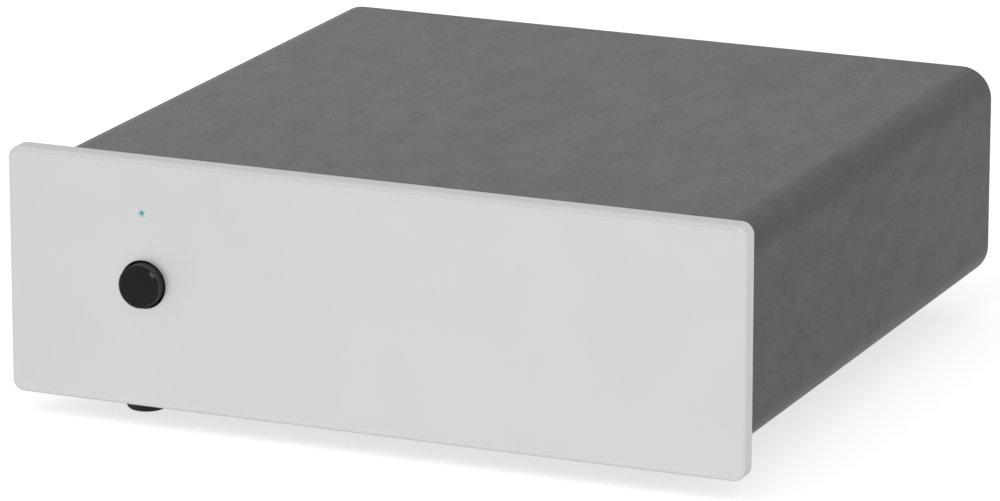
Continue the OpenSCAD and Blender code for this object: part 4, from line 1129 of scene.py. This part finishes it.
# At each end the outline steps in from the ridges. The pairs say how far in, and how far from
# that end, in millimetres.
thumb_outline = [
    (thumb_bore_r + thumb_bore_edge, thumb_low.y),
    *[(thumb_r - inset * mm, thumb_low.y + along * mm)
      for inset, along in ((1.3, 0), (0.7, 0.4), (0.5, 0.5), (0, 0.8))],
    *[(thumb_r - inset * mm, thumb_high.y - along * mm)
      for inset, along in ((0, 0.8), (0.5, 0.5), (0.9, 0.15), (1.2, 0))],
    (thumb_bore_r + thumb_bore_edge, thumb_high.y),
    (thumb_bore_r, thumb_high.y - thumb_bore_edge), (thumb_bore_r, thumb_low.y + thumb_bore_edge),
]
work = bmesh.new()
thumb_rings = []
for r, y in thumb_outline:
    dip = ridge_depth / 2 if r == thumb_r else 0
    thumb_rings.append(upright_loop(work, [
        point_at(r - dip * (1 - math.cos(ridges * turn)), turn, ground_x, axis_z)
        for turn in swing(0, 360, ridges * ridge_steps)[:-1]
    ], y))
skin(work, [*thumb_rings, thumb_rings[0]])
fit(finished_object(work, "knurled_thumb_nut"), gold, "ground_thumb_nut", "gold_brass",
    "ground_thumb_nut", sharp=28)


# ---- Rear panel ----
# A steel plate in satin black paint, set just inside the sleeve's end. White ink names its
# sockets with plain words: IN, OUT, L, R, GND and DC.
plate_low, plate_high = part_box("rear_panel")
legend_h, word_z, letter_z = 2.1 * mm, plate_low.z + 3.0 * mm, plate_high.z - 5.2 * mm

# Satin paint, sprayed and baked: a black that is soft, with a faint ripple in its sheen.
black_paint = moulded(
    "satin_black_paint_on_steel", "#19191a", "#242425", 0.2 * mm, 0.38, 0.5, 0.012 * mm)
fit_copy("rear_panel", "rear_plate", black_paint, "black_steel", 0.1 * mm)
facing_back = (
    Matrix.Rotation(math.radians(180), 4, "Z") @ Matrix.Rotation(math.radians(90), 4, "X"))
legends = [("GND", ground_x, word_z), ("DC", (inlet_low.x + inlet_high.x) / 2, word_z)]
for pair, word in (("input", "IN"), ("output", "OUT")):
    right_x, left_x = [
        sum(corner.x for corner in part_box(f"{pair}_{side}_barrel")) / 2
        for side in ("right", "left")
    ]
    legends += [
        (word, (right_x + left_x) / 2, word_z), ("R", right_x, letter_z), ("L", left_x, letter_z)]
printed("printed_legends", [
    (words, legend_h, Matrix.Translation((x, plate_high.y + ink_t / 2, z)) @ facing_back)
    for words, x, z in legends
])


# ---- Feet ----
# Four moulded rubber feet, stuck to the sleeve's floor. Each is a shallow cone with a round
# rim and a dished face. Its skin is dull, and shows a little grey where light grazes it.
rubber = moulded("moulded_black_rubber", "#171717", "#222222", 0.3 * mm, 0.62, 0.78, 0.02 * mm)
face_r, foot_round, foot_dish, foot_edge = 2.1 * mm, 0.6 * mm, 0.25 * mm, 0.15 * mm
for node in ("front_right_foot", "front_left_foot", "rear_right_foot", "rear_left_foot"):
    low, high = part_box(node)
    foot_r = (high.x - low.x) / 2
    lean = math.atan2(foot_r - face_r - foot_round, high.z - 2 * foot_round)
    work = bmesh.new()
    turned(work, [
        (0, foot_dish), (face_r * 0.7, foot_dish * 0.8), (face_r * 0.92, foot_dish * 0.12),
        *[(face_r + foot_round * math.sin(turn), foot_round * (1 - math.cos(turn)))
          for turn in swing(0, 90 - math.degrees(lean), 8)],
        (foot_r, high.z - foot_round), (foot_r, high.z - foot_edge),
        (foot_r - foot_edge, high.z), (0, high.z),
    ], ((low.x + high.x) / 2, (low.y + high.y) / 2), axis="Z", steps=64)
    fit(finished_object(work, node.replace("_foot", "_rubber_foot")), rubber, "case",
        "foot_rubber", node, sharp=50)
